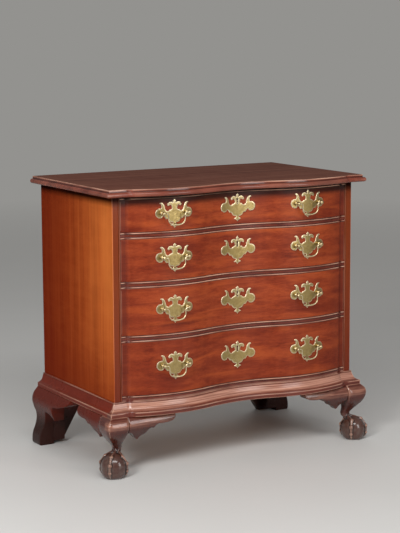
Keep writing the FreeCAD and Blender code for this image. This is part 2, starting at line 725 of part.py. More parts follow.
def drawer_sides(drawer):
    """Both sides, with tails at each end and a groove for the bottom."""
    body = box((drawer.half - DRAWER_WALL, drawer.inner, drawer.side_low),
               (drawer.half, drawer.rear - DRAWER_WALL, drawer.side_high))
    right = union([body] + front_tails(drawer) + rear_tails(drawer)).cut(drawer_bottom(drawer))
    return group([right, mirrored(right)])


def drawer_back(drawer):
    """Back with sockets for the side's tails; it stands on the bottom board."""
    board = box((-drawer.half, drawer.rear - DRAWER_WALL, drawer.board + BOTTOM_BOARD),
                (drawer.half, drawer.rear, drawer.side_high))
    sockets = rear_tails(drawer)
    sockets += [mirrored(piece) for piece in sockets]
    return max(board.cut(Part.makeCompound(sockets)).Solids, key=lambda solid: solid.Volume)


def keyhole(z):
    """A keyhole through the front at the height z of the key's pin."""
    slot = KEYHOLE_RADIUS * 0.6
    points = [(-slot, z - KEYHOLE_LENGTH), (slot, z - KEYHOLE_LENGTH)]
    points += rounding((0, z), KEYHOLE_RADIUS, -50, 230, 2 * FLATS)
    face = polygon(elevation, points)
    return moved(face, y=Y_FRONT - SWELL).extrude(V(0, SWELL + FRONT_THICKNESS - LOCK_DEPTH, 0))


def post_places():
    """Where the four posts of a drawer stand along X."""
    half = POST_SPACING / 2
    return (-PULL_X - half, -PULL_X + half, PULL_X - half, PULL_X + half)


def drawer_front(drawer):
    """Thick front sawn to the plan, flat inside, with sockets, groove, post holes and lock recess."""
    made = front_slab(drawer.half, drawer.inner, drawer.low, drawer.high)
    cuts = front_tails(drawer)
    cuts += [mirrored(piece) for piece in cuts]
    cuts.append(drawer_bottom(drawer))
    cuts += lock_space(drawer)
    cuts.append(keyhole(drawer.key))
    cuts += [moved(shank_hole(x), z=drawer.post) for x in post_places()]
    return made.cut(Part.makeCompound(cuts))


# ---- Brasses --------------------------------------------------------------------------------------
def half_plate():
    """Right half of the plate's outline, from its upper finial to its lower one."""
    points = [(0, 40.5), (4.8, 31), (13.5, 32), (23, 24), (15.5, 22.5), (8.5, 14), (15.5, 9),
              (22, 6.5), (30, 13), (33.5, 24), (41, 30.5), (47, 28.5), (41, 22)]
    points += rounding((46.2, 0), 14.2, 60, -120, 4)
    points += [(29.5, -14.5), (13, -26), (4.5, -28), (13.5, -36), (0, -44)]
    return fitted(points, PLATE_HALF_WIDTH, PLATE_RISE)


def plate_blank():
    """The plate's outline as a long prism through the front, about its own middle."""
    right = half_plate()
    left = [(-x, z) for x, z in reversed(right[1:-1])]
    face = moved(polygon(elevation, right + left), y=Y_FRONT - SWELL - 20)
    return face.extrude(V(0, SWELL + 40, 0))


def front_y(x):
    """Y of the front's surface at the place x."""
    x = abs(x)
    if x > CREST_X:
        return OUTER_CENTRE.y - math.sqrt(OUTER_RADIUS ** 2 - (x - CREST_X) ** 2)
    if x > CREST_X - CREST_RADIUS * math.sin(TURN):
        return INNER_CENTRE.y - math.sqrt(CREST_RADIUS ** 2 - (x - CREST_X) ** 2)
    return HOLLOW_CENTRE.y + math.sqrt(HOLLOW_RADIUS ** 2 - x ** 2)


def plate_seat(centre):
    """Plan of a plate's back, straight between its bends, from left to right."""
    lift = PLATE_LIFT if centre else 0.0
    places = [centre - bend for bend in reversed(PLATE_BENDS)] + [centre + bend for bend in PLATE_BENDS]
    return [(x, front_y(x) - lift) for x in places]


def plate_layer(centre):
    """A bent layer as thick as a plate."""
    seat = plate_seat(centre)
    face = [(x, y - PLATE_THICKNESS) for x, y in reversed(seat)]
    return moved(polygon(plan, seat + face), z=-60).extrude(UP * 120)


def shank_hole(x):
    """Square hole for a post's shank."""
    half = SHANK_WIDTH / 2 + 0.05
    return box((x - half, Y_FRONT - SWELL - 30, -half), (x + half, Y_FRONT + 30, half))


def plates():
    """Left plate, escutcheon and right plate, bent to the front, at the height zero."""
    blank = plate_blank()
    escutcheon = blank.common(plate_layer(0)).cut(keyhole(KEYHOLE_RISE))
    right = moved(blank, x=PULL_X).common(plate_layer(PULL_X))
    for x in post_places()[2:]:
        right = right.cut(shank_hole(x))
    return group([mirrored(right), escutcheon, right])


def pivot_y():
    """The bail's axis, far enough out for the prouder post of the pair."""
    return Y_FRONT - SWELL - PLATE_THICKNESS - PIVOT_OUT


def post_end(x, side):
    """Y where a post's collar meets its plate; side is the post's side of the plate's middle."""
    centre = math.copysign(PULL_X, x)
    (x1, y1), (x2, y2) = plate_seat(centre)[-2:] if side > 0 else plate_seat(centre)[:2]
    return lambda at: y1 + (y2 - y1) * (at - x1) / (x2 - x1) - PLATE_THICKNESS


def post(x):
    """A turned post: collar on the plate, neck and head, with a square shank through the front."""
    y = pivot_y()
    tip = y - HEAD_LENGTH / 2
    heel = y + HEAD_LENGTH / 2
    side = math.copysign(1, x - math.copysign(PULL_X, x))
    seat = post_end(x, side)
    profile = ((HEAD_RADIUS * 0.6, tip), (HEAD_RADIUS, tip + 2.2), (HEAD_RADIUS, heel - 2),
               (NECK_RADIUS, heel + 2), (COLLAR_RADIUS, heel + 5))
    first = 180 / POST_FLATS
    rings = [[V(x + a, depth, b) for a, b in rounding((0, 0), radius, first, first + 360, POST_FLATS)[:-1]]
             for radius, depth in profile]
    rings.append([V(point.x, seat(point.x), point.z) for point in rings[-1]])
    half = SHANK_WIDTH / 2
    shank = box((x - half, heel + 6, -half), (x + half, Y_FRONT + FRONT_THICKNESS + SHANK_TAIL, half))
    bore = Part.makeCylinder(PIN_RADIUS + PIN_GAP, HEAD_RADIUS, V(x, y, 0), V(-side, 0, 0))
    return union([skin(rings), shank]).cut(bore)


def posts():
    """The four posts of a drawer, at the height zero."""
    return group([post(x) for x in post_places()])


def bail_section(radius):
    """Section of the bail."""
    return rounding((0, 0), radius, 0, 360, BAIL_FLATS)[:-1]


def bail_line():
    """Stations of the bail's right half, from the pin's end to the middle: x, z and half thickness."""
    thin, thick, wide, drop = BAIL_THICKNESS / 2, BAIL_MIDDLE / 2, BAIL_HALF_WIDTH, BAIL_DROP
    return ((POST_SPACING / 2 - 1, 0, PIN_RADIUS), (31, 0, PIN_RADIUS), (27, -3, thin), (wide - 1, -13, thin),
            (wide - 2, 2 - drop, thin), (9, -drop, thick))


def bail(centre_x):
    """Drop handle, thicker in its middle, with its ends turned into the posts' heads."""
    right = bail_line()
    line = list(right) + [(-x, z, size) for x, z, size in reversed(right)]
    rings = []
    for index, (x, z, size) in enumerate(line):
        before = line[max(index - 1, 0)]
        after = line[min(index + 1, len(line) - 1)]
        angle = math.atan2(after[1] - before[1], after[0] - before[0])
        rings.append([V(centre_x + x - side * math.sin(angle), pivot_y() + lift, z + side * math.cos(angle))
                      for lift, side in bail_section(size)])
    return skin(rings)


# ---- Locks ----------------------------------------------------------------------------------------
def lock_space(drawer):
    """The recess of the lock in the front: its case, its plate and its edge strip."""
    y = drawer.inner
    half = LOCK_WIDTH / 2
    low = drawer.key - LOCK_BELOW_KEY
    case = box((-half, y - LOCK_DEPTH, low), (half, y, drawer.high))
    plate = box((-half - LOCK_PLATE_LAP, y - LOCK_PLATE, low - LOCK_PLATE_LAP),
                (half + LOCK_PLATE_LAP, y, drawer.high))
    edge = box((-half - LOCK_PLATE_LAP, y - LOCK_DEPTH - 2, drawer.high - LOCK_PLATE),
               (half + LOCK_PLATE_LAP, y, drawer.high))
    return [case, plate, edge]


def bolt(drawer, gap):
    """The bolt, drawn back so that its end is level with the drawer's top edge."""
    y = drawer.inner - LOCK_DEPTH / 2
    half = BOLT_WIDTH / 2 + gap
    depth = BOLT_THICKNESS / 2 + gap
    return box((-half, y - depth, drawer.high - BOLT_LENGTH - gap), (half, y + depth, drawer.high))


def lock(drawer):
    """Half-mortise lock with a channel for its bolt."""
    return union(lock_space(drawer)).cut(bolt(drawer, BOLT_GAP))


# ---- Nodes ----------------------------------------------------------------------------------------
def case_nodes():
    """Every piece of the case, by name."""
    right_side = side_right()
    right_moulding = base_moulding_right()
    right_foot = foot_front_right()
    right_rear = foot_rear_right()
    nodes = {"top_board": top_board(), "side_left": mirrored(right_side), "side_right": right_side,
             "back_boards": back_boards(), "case_bottom": case_bottom(), "top_rails": top_rails(),
             "rail_bottom": rail_bottom(), "drawer_runners": drawer_runners(),
             "drawer_stops": drawer_stops(), "base_moulding_front": base_moulding_front(),
             "base_moulding_left": mirrored(right_moulding), "base_moulding_right": right_moulding,
             "foot_front_left": mirrored(right_foot), "foot_front_right": right_foot,
             "knee_brackets": knee_brackets(), "foot_rear_left": mirrored(right_rear),
             "foot_rear_right": right_rear}
    for number, divider in enumerate(dividers(), 1):
        nodes["divider_%d" % number] = divider
    return nodes


def drawer_nodes():
    """Every piece of the four drawers, by name, from the top one down."""
    plate_set = plates()
    post_set = posts()
    nodes = {}
    for number, (low, high) in enumerate(opening_levels(), 1):
        drawer = Drawer(low, high)
        pieces = {"front": drawer_front(drawer), "sides": drawer_sides(drawer),
                  "back": drawer_back(drawer), "bottom": drawer_bottom(drawer),
                  "plates": moved(plate_set, z=drawer.post), "posts": moved(post_set, z=drawer.post),
                  "bail_left": moved(bail(-PULL_X), z=drawer.post),
                  "bail_right": moved(bail(PULL_X), z=drawer.post),
                  "lock": lock(drawer), "lock_bolt": bolt(drawer, 0.0)}
        for name, shape in pieces.items():
            nodes["drawer_%d_%s" % (number, name)] = shape
    return nodes


os.makedirs("parts", exist_ok=True)
for node_name, node_shape in list(case_nodes().items()) + list(drawer_nodes().items()):
    node_shape.exportStep("parts/%s.step" % node_name)
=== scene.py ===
"""Dresses the oxbow-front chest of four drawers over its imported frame.

Shapes are worked out in millimetres and put into meshes in metres.
+X is to the chest's right as seen from the front, +Y to its back and +Z up.
"""
import math

import bmesh
import bpy
import numpy as np
from mathutils import Matrix, Vector
from mathutils.geometry import delaunay_2d_cdt


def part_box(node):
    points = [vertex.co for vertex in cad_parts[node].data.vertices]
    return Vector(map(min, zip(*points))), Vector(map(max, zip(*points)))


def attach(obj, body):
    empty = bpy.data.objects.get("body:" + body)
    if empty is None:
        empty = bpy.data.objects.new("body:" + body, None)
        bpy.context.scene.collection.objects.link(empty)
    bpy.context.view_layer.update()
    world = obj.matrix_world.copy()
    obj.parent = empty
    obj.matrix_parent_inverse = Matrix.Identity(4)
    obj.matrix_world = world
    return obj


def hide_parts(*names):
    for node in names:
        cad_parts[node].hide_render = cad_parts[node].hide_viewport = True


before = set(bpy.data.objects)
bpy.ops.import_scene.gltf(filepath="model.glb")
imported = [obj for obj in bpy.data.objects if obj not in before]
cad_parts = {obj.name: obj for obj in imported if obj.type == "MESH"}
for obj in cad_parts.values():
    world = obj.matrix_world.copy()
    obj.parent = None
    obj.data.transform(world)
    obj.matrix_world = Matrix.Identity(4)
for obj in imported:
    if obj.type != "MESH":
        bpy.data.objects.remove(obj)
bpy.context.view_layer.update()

bl_info = {
    "name": "Oxbow Chest of Drawers",
    "version": (1, 0, 0),
    "blender": (4, 5, 0),
    "location": "View3D > Sidebar > Chest",
    "description": "Carved feet, shaped fronts, brasses and old finishes for an oxbow-front chest",
    "category": "Add Mesh",
}

MM = 0.001


def node_box(name):
    """Lowest and highest corner of a CAD node in millimetres."""
    low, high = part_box(name)
    return np.round(np.array(low) / MM, 3), np.round(np.array(high) / MM, 3)


# ---- Sizes shared with the frame, in millimetres -------------------------------------------------
TOP_HIGH = node_box("top_board")[1]
SIDE_LOW, SIDE_HIGH = node_box("side_right")
SHELF_LOW, SHELF_HIGH = node_box("base_moulding_front")
HALF_OPENING = 393.0
HALF_CASE = float(SIDE_HIGH[0])
Y_FRONT = -209.5
Y_BACK = float(SIDE_HIGH[1])
BACK_BOARDS, BACK_BOARD, BACK_LAP = 3, 13.0, 12.0
Y_BOARDS = Y_BACK - BACK_BOARD
Z_CASE = float(SIDE_LOW[2])
Z_UNDER_TOP = float(SIDE_HIGH[2])
Z_FIRST = 233.0
FOOT_HEIGHT = float(SHELF_LOW[2])
OPENINGS = ((712.0, 808.0), (568.5, 694.5), (410.5, 551.0), (Z_FIRST, 393.0))
RAIL_DEPTH, RAIL_THICKNESS, TOP_RAIL_THICKNESS = 72.0, 17.5, 10.0
TONGUE_LENGTH, TONGUE_SET_BACK, RUNNER_HOUSING = 9.0, 8.0, 4.0
CASE_BOTTOM = 18.0
TOP_OVERHANG = 36.0
MOULDING_HEIGHT, MOULDING_PROUD, MOULDING_SHELF = 42.0, 24.0, 46.0
KNEE_START, KNEE_LOW, KNEE_REACH, KNEE_DEPTH = 30.0, 105.0, 157.0, 40.0
REAR_DEPTH, REAR_BRACKET, GLUE_BLOCK = 30.0, 22.0, 38.0

# Plan of the front: hollow middle, two swells and a flat strip at each end.
CREST_X, SWELL, HOLLOW, CREST_RADIUS = 220.0, 33.0, 2.0, 358.0
BLOCK_X, BLOCK_RUN, BLOCK_RISE = 375.0, 5.0, 6.0
TURN = 2 * math.atan2(SWELL - HOLLOW, CREST_X)
HOLLOW_RADIUS = CREST_X / math.sin(TURN) - CREST_RADIUS
SWELL_RUN, SWELL_DROP = BLOCK_X - BLOCK_RUN - CREST_X, SWELL - BLOCK_RISE
OUTER_RADIUS = (SWELL_RUN ** 2 + SWELL_DROP ** 2) / (2 * SWELL_DROP)
OUTER_TURN = math.asin(SWELL_RUN / OUTER_RADIUS)
Y_CREST = Y_FRONT - SWELL
FAIR_RUN, FAIR_END = 14.0, 6.0  # the cubic beside the strip: its length, and how far past the edge it ends

# A drawer front, its lock and its brasses.
FRONT_GAP = 1.0
INNER_Y = Y_FRONT + 20.0        # flat inner face of a drawer front
DRAWER_WALL, SIDE_BELOW, SIDE_SHORT, TAIL_PITCH, TAIL_FLARE = 12.0, 0.7, 5.0, 44.0, 2.0
GROOVE_HALF, GROOVE_RISE, GROOVE_DEPTH, GROOVE_WIDTH = 385.0, 10.0, 5.0, 7.0
PULL_X, POST_HALF, POST_RISE = 232.0, 41.25, 5.0
SHANK_HALF, SHANK_HOLE = 2.2, 2.3
KEYHOLE_RISE, KEYHOLE_RADIUS, KEYHOLE_SLOT, KEYHOLE_LENGTH = 22.5, 2.7, 1.6, 14.0
LOCK_HALF, LOCK_DEPTH, LOCK_BELOW_KEY, LOCK_PLATE, LOCK_PLATE_LAP = 28.0, 12.0, 16.0, 1.5, 7.0
MORTISE_HALF, MORTISE_HEIGHT = 12.0, 7.5
PLATE = 1.6
PIVOT_Y = Y_CREST - PLATE - 13.5
BORE_RADIUS, PIN_RADIUS = 1.85, 1.5


# ---- Curves and grids ---------------------------------------------------------------------------
def smooth(at, knots, values):
    """Cubic pieces through the knots; the slope at a knot is the mean slope beside it."""
    knots, values = np.asarray(knots, float), np.asarray(values, float)
    slopes = np.gradient(values, knots)
    i = np.clip(np.searchsorted(knots, at, side="right") - 1, 0, len(knots) - 2)
    width = knots[i + 1] - knots[i]
    t = np.clip((at - knots[i]) / width, 0, 1)
    rise = values[i + 1] - values[i]
    return (values[i] + t * width * slopes[i]
            + t ** 2 * (3 * rise - width * (2 * slopes[i] + slopes[i + 1]))
            + t ** 3 * (width * (slopes[i] + slopes[i + 1]) - 2 * rise))


def smooth_path(points, count):
    """A smooth line through points of any dimension, evenly spaced by the chords between them."""
    points = np.asarray(points, float)
    chord = np.r_[0, np.cumsum(np.linalg.norm(np.diff(points[:, :2], axis=0), axis=1))]
    at = np.linspace(0, chord[-1], count)
    return np.stack([smooth(at, chord, column) for column in points.T], -1)


def arc(centre, radius, start, end, count):
    """Points on a circle from one angle to another, in degrees."""
    angle = np.radians(np.linspace(start, end, count))
    return np.stack([centre[0] + radius * np.cos(angle), centre[1] + radius * np.sin(angle)], -1)


def front_y(x):
    """Y of the front's face at x: a circle about the middle, then one on each side of the crest."""
    x = np.abs(x)
    bend = CREST_X - CREST_RADIUS * math.sin(TURN)
    hollow = Y_FRONT - HOLLOW - HOLLOW_RADIUS + np.sqrt(HOLLOW_RADIUS ** 2 - np.minimum(x, bend) ** 2)
    away = np.clip(x - CREST_X, -CREST_RADIUS + 1, SWELL_RUN)
    inner = Y_CREST + CREST_RADIUS - np.sqrt(CREST_RADIUS ** 2 - away ** 2)
    outer = Y_CREST + OUTER_RADIUS - np.sqrt(OUTER_RADIUS ** 2 - away ** 2)
    return np.where(x < bend, hollow, np.where(x < CREST_X, inner, outer))


def front_line(out, end, blocked, fine):
    """X and Y of a line carried along the front at the distance out from its face.

    On the hollow x = (R - out) sin a, on the swells x = crest + (R + out) sin a, with y from the
    cosine. A blocked line steps straight to the flat strip; another meets it by a cubic whose ends
    have the slopes of the swell and of the strip.
    """
    out = np.asarray(out, float)
    end = np.broadcast_to(np.asarray(end, float), out.shape)
    t = np.linspace(0, 1, fine + 1)[:, None]
    r = HOLLOW_RADIUS - out
    xs = [r * np.sin(TURN * t)]
    ys = [Y_FRONT - HOLLOW - HOLLOW_RADIUS + r * np.cos(TURN * t)]
    r = CREST_RADIUS + out
    a = -TURN * (1 - t[1:])
    xs.append(CREST_X + r * np.sin(a))
    ys.append(Y_CREST + CREST_RADIUS - r * np.cos(a))
    r = OUTER_RADIUS + out
    begin = np.full(out.shape, BLOCK_X)
    last = np.full(out.shape, OUTER_TURN)
    if not blocked:
        begin = BLOCK_X - BLOCK_RUN / 2 + math.tan(OUTER_TURN / 2) * out + FAIR_END
        last = np.arcsin((begin - FAIR_RUN - CREST_X) / r)
    a = last * t[1:]
    xs.append(CREST_X + r * np.sin(a))
    ys.append(Y_CREST + OUTER_RADIUS - r * np.cos(a))
    if not blocked:
        s = np.linspace(0, 1, 9)[1:-1, None]
        start = ys[-1][-1]
        drop, pull = Y_FRONT - out - start, FAIR_RUN * np.tan(last)
        xs.append(begin - FAIR_RUN * (1 - s))
        ys.append(start + drop * (3 * s ** 2 - 2 * s ** 3) + pull * s * (1 - s) ** 2)
    t = np.linspace(0, 1, 4)[:, None]
    xs.append(begin + (end - begin) * t)
    ys.append(np.broadcast_to(Y_FRONT - out, xs[-1].shape))
    x, y = np.concatenate(xs), np.concatenate(ys)
    return np.concatenate([-x[:0:-1], x]), np.concatenate([y[:0:-1], y])


def along_front(profile, end, blocked=False, fine=26):
    """Rows of a section (out, z) carried along the whole front, from left to right."""
    profile = np.asarray(profile, float)
    x, y = front_line(profile[:, 0], end, blocked, fine)
    return np.stack([x, y, np.broadcast_to(profile[:, 1], x.shape)], -1)


def flat_back(rows, corners):
    """Adds points of a straight back, (y, z), to each row of a section."""
    x = np.repeat(rows[:, -1:, 0], len(corners), 1)
    tail = np.stack([x, np.broadcast_to([c[0] for c in corners], x.shape),
                     np.broadcast_to([c[1] for c in corners], x.shape)], -1)
    return np.concatenate([rows, tail], 1)


def surface(points, wrap_columns=False, caps=False):
    """A shell whose faces join neighbours of a grid of points; caps close its first and last rows."""
    rows, columns = points.shape[:2]
    index = np.arange(rows * columns).reshape(rows, columns)
    here, below = index[:-1], index[1:]
    if wrap_columns:
        corners = [here, np.roll(here, -1, 1), np.roll(below, -1, 1), below]
    else:
        corners = [here[:, :-1], here[:, 1:], below[:, 1:], below[:, :-1]]
    faces = np.stack(corners, -1).reshape(-1, 4).tolist()
    if caps:
        faces += [index[0, ::-1].tolist(), index[-1].tolist()]
    return points.reshape(-1, 3), faces


def prism(outline, place, start, end):
    """A shell between two copies of an outline; place(outline, depth) gives their points."""
    outline = np.asarray(outline, float)
    return surface(np.stack([place(outline, start), place(outline, end)]), wrap_columns=True, caps=True)


def block(low, high):
    """A shell of a plain block."""
    outline = [(low[0], low[1]), (high[0], low[1]), (high[0], high[1]), (low[0], high[1])]
    return prism(outline, level, low[2], high[2])


def level(outline, z):
    """Plan points at a height."""
    return np.column_stack([outline, np.full(len(outline), z)])


def facing(outline, y):
    """Points of a front view at a depth."""
    return np.column_stack([outline[:, 0], np.full(len(outline), y), outline[:, 1]])


def sideways(outline, x):
    """Points of a side view at a distance from the middle."""
    return np.column_stack([np.full(len(outline), x), outline])


def mirrored(shells):
    """The same shells on the left of the chest."""
    return [(points * (-1, 1, 1), faces) for points, faces in shells]


def raised(shells, z):
    """The same shells at another height."""
    return [(points + (0, 0, z), faces) for points, faces in shells]


def both(shells):
    """The shells and their mirror images."""
    return shells + mirrored(shells)


def swept_tube(line, sides):
    """Rings round a line of x, y, z and radius; each ring lies square to the line."""
    centre, radius = line[:, :3], line[:, 3]
    ahead = np.gradient(centre, axis=0)
    ahead /= np.linalg.norm(ahead, axis=1)[:, None]
    side = np.cross(ahead, (0.0, 1.0, 0.0))
    side /= np.linalg.norm(side, axis=1)[:, None]
    up = np.cross(side, ahead)
    a = np.linspace(0, 2 * math.pi, sides, endpoint=False)
    ring = side[:, None] * np.cos(a)[:, None] + up[:, None] * np.sin(a)[:, None]
    return surface(centre[:, None] + ring * radius[:, None, None], wrap_columns=True, caps=True)


def turned_shell(profile, centre, sides):
    """A profile of radius and y turned about an axis along Y through centre (x, z)."""
    a = np.linspace(0, 2 * math.pi, sides, endpoint=False)
    radius, y = profile[:, :1], profile[:, 1:]
    points = np.stack([centre[0] + radius * np.cos(a), np.broadcast_to(y, (len(y), sides)),
                       centre[1] + radius * np.sin(a)], -1)
    return surface(points, wrap_columns=True, caps=True)


# ---- Sheets cut to an outline -------------------------------------------------------------------
def spaced(outline, step):
    """The outline with points added, so that none are further apart than step."""
    outline = np.asarray(outline, float)
    after = np.roll(outline, -1, 0)
    counts = np.maximum(1, np.ceil(np.linalg.norm(after - outline, axis=1) / step)).astype(int)
    begin = np.repeat(outline, counts, 0)
    t = np.concatenate([np.arange(n) / n for n in counts])[:, None]
    return begin + (np.repeat(after, counts, 0) - begin) * t


def inset(outline, distance):
    """The outline moved inwards along its normals; it runs anticlockwise."""
    ahead = np.roll(outline, -1, 0) - outline
    ahead /= np.linalg.norm(ahead, axis=1)[:, None] + 1e-9
    normal = np.stack([-ahead[:, 1], ahead[:, 0]], -1)
    mean = normal + np.roll(normal, 1, 0)
    mean /= np.linalg.norm(mean, axis=1)[:, None] + 1e-9
    open_by = np.clip((mean * normal).sum(1), 0.5, 1)
    return outline + mean * (distance / open_by)[:, None]


def inside(points, outline):
    """Which points lie inside the outline, by counting its crossings of a ray."""
    x, y = points[:, :1], points[:, 1:]
    x1, y1 = outline.T
    x2, y2 = np.roll(outline, -1, 0).T
    spans = (y1 > y) != (y2 > y)
    with np.errstate(divide="ignore", invalid="ignore"):
        crossing = x1 + (y - y1) * (x2 - x1) / (y2 - y1)
    return (spans & (x < crossing)).sum(1) % 2 == 1


def fill(outline, holes, step):
    """Points and triangles inside an outline and outside its holes, with a lattice between them."""
    low, high = outline.min(0), outline.max(0)
    across = np.arange(low[0], high[0], step)
    up = np.arange(low[1] + step / 2, high[1], step * 0.866)
    x, y = np.meshgrid(across, up)
    x = x + (np.arange(len(up)) % 2)[:, None] * step / 2
    lattice = np.column_stack([x.ravel(), y.ravel()])
    edge = np.concatenate([outline, *holes])
    keep = inside(lattice, outline)
    for hole in holes:
        keep &= ~inside(lattice, hole)
    lattice = lattice[keep]
    near = np.abs(edge[None] - lattice[:, None]).max(2).min(1, initial=math.inf)
    lattice = lattice[near > step * 0.45]
    points = np.concatenate([edge, lattice])
    links = []
    start = 0
    for loop in (outline, *holes):
        links += [(start + i, start + (i + 1) % len(loop)) for i in range(len(loop))]
        start += len(loop)
    made = delaunay_2d_cdt([Vector(p) for p in points], links, [], 0, 1e-6)
    found = np.array([tuple(v) for v in made[0]])
    triangles = np.array([f for f in made[2] if len(f) == 3])
    middle = found[triangles].mean(1)
    keep = inside(middle, outline)
    for hole in holes:
        keep &= ~inside(middle, hole)
    return found, triangles[keep].tolist()


def sawn(outline, place, depth, edge, step, holes=(), back_edge=0.0, flats=4):
    """A sheet cut to an outline, with its edges rounded.

    The rounding is a quarter circle: inset e(1 - cos a) at the depth e(1 - sin a). place(points, depth)
    puts plan points at a depth under the face.
    """
    a = np.radians(np.linspace(90, 0, flats + 1))
    levels = [(edge * (1 - math.cos(v)), edge * (1 - math.sin(v))) for v in a]
    if back_edge:
        a = np.radians(np.linspace(0, 90, 3))
        levels += [(back_edge * (1 - math.cos(v)), depth - back_edge * (1 - math.sin(v))) for v in a]
    else:
        levels.append((0.0, depth))
    shells = []
    for loop, sign in [(outline, 1)] + [(hole, -1) for hole in holes]:
        rings = np.stack([place(inset(loop, sign * step_in), down) for step_in, down in levels])
        shells.append(surface(rings, wrap_columns=True))
    for step_in, down in (levels[0], levels[-1]):
        points, faces = fill(inset(outline, step_in), [inset(hole, -step_in) for hole in holes], step)
        shells.append((place(points, down), faces))
    return shells


# ---- Meshes -------------------------------------------------------------------------------------
def mesh_from(name, shells):
    """One mesh from shells, with doubles merged and faces turned outwards."""
    offsets = np.cumsum([0] + [len(points) for points, faces in shells])
    points = np.concatenate([points for points, faces in shells]) * MM
    faces = [[i + offset for i in face] for (_, part), offset in zip(shells, offsets) for face in part]
    mesh = bpy.data.meshes.new(name)
    mesh.from_pydata(points.tolist(), [], faces)
    shape = bmesh.new()
    shape.from_mesh(mesh)
    bmesh.ops.remove_doubles(shape, verts=shape.verts, dist=0.004 * MM)
    bmesh.ops.recalc_face_normals(shape, faces=shape.faces)
    shape.to_mesh(mesh)
    shape.free()
    return mesh


def carved(shells, cutters):
    """The shells with each group of cutters taken out of them, by exact Booleans."""
    body = bpy.data.objects.new("body", mesh_from("body", shells))
    bpy.context.scene.collection.objects.link(body)
    tools = []
    for group in cutters:
        tool = bpy.data.objects.new("tool", mesh_from("tool", group))
        bpy.context.scene.collection.objects.link(tool)
        tools.append(tool)
        cut = body.modifiers.new("cut", "BOOLEAN")
        cut.operation, cut.solver, cut.object = "DIFFERENCE", "EXACT", tool
    view = bpy.context.evaluated_depsgraph_get()
    mesh = bpy.data.meshes.new_from_object(body.evaluated_get(view))
    points = np.array([v.co for v in mesh.vertices]) / MM
    faces = [list(face.vertices) for face in mesh.polygons]
    bpy.data.meshes.remove(mesh)
    if not faces:
        raise RuntimeError("a cut left nothing")
    for spare in [body] + tools:
        old = spare.data
        bpy.data.objects.remove(spare)
        bpy.data.meshes.remove(old)
    return [(points, faces)]


def mark_hollows(mesh, gaps, share):
    """Stores each vertex's curvature, 2 (neighbour - vertex).normal / distance^2, as "hollow".

    It is above zero in quirks and between claws, and below zero on arrises, in 1/mm up to 1. The
    finishes darken the first with grime and painted shade, and lighten the second with wear and a
    painted highlight. Only neighbours within 3.5 mm count. With gaps, points set back from the front's
    face count as quirks, which paints shadow into the gaps round the drawers and behind the beads.
    Coarse sheets take a small share of it, so that their rims fade out near the edge.
    """
    count = len(mesh.vertices)
    co = np.empty(count * 3)
    mesh.vertices.foreach_get("co", co)
    normal = np.empty(count * 3)
    mesh.vertex_normals.foreach_get("vector", normal)
    ends = np.empty(len(mesh.edges) * 2, int)
    mesh.edges.foreach_get("vertices", ends)
    co, normal, ends = co.reshape(-1, 3) / MM, normal.reshape(-1, 3), ends.reshape(-1, 2)
    way = co[ends[:, 1]] - co[ends[:, 0]]
    size = (way ** 2).sum(1)
    short = size < 3.5 ** 2
    (a, b), way, size = ends[short].T, way[short], np.maximum(size[short], 0.04)
    bend = np.zeros(count)
    met = np.bincount(np.concatenate([a, b]), minlength=count) + 1e-9
    np.add.at(bend, a, 2 * (way * normal[a]).sum(1) / size)
    np.add.at(bend, b, -2 * (way * normal[b]).sum(1) / size)
    bend = np.clip(bend / met, -1, 1)
    for _ in range(2):
        total = np.zeros(count)
        np.add.at(total, a, bend[b])
        np.add.at(total, b, bend[a])
        bend = np.where(met > 0.5, 0.5 * bend + 0.5 * total / met, bend)
    # Painted shadow: the sides of the gaps round the drawers and behind the beads count as quirks, so they
    # darken.
    if gaps:
        x, y = np.abs(co[:, 0]), co[:, 1]
        face = np.where(x > BLOCK_X - 15, Y_FRONT, front_y(x))
        back = y - face
        bend = np.where((back > 0.3) & (back < 19) & (x < HALF_OPENING + 0.4), 0.6, bend)
    store = mesh.attributes.new("hollow", "FLOAT", "POINT")
    store.data.foreach_set("value", (share * bend).astype(np.float32))


def piece(name, shells, finish, body, nodes=(), sharp=40.0, gaps=False, share=1.0):
    """A finished piece: its mesh, material, body, and the CAD nodes that it stands for."""
    mesh = mesh_from(name, shells)
    mesh.shade_smooth()
    mesh.set_sharp_from_angle(angle=math.radians(sharp))
    mark_hollows(mesh, gaps, share)
    made = bpy.data.objects.new(name, mesh)
    bpy.context.scene.collection.objects.link(made)
    made.data.materials.append(bpy.data.materials[FINISHES[finish]])
    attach(made, body)
    if nodes:
        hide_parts(*nodes)
    return made


# ---- Materials ----------------------------------------------------------------------------------
FINISHES = {"mahogany_top": "mahogany top, waxed and worn",
            "mahogany_case": "mahogany side, old varnish",
            "mahogany_front": "mahogany front, old varnish",
            "mahogany_rail": "mahogany rail, old varnish",
            "mahogany_foot": "mahogany foot, carved",
            "pine": "pine, planed and oxidised",
            "brass": "cast brass, old lacquer",
            "iron": "wrought iron, oiled"}
# Pale wear with a painted highlight on arrises; dark grime with painted shade in quirks and gaps.
WORN_AND_HIGHLIGHT, GRIME_AND_SHADE = "#cfa189", "#1c0a06"

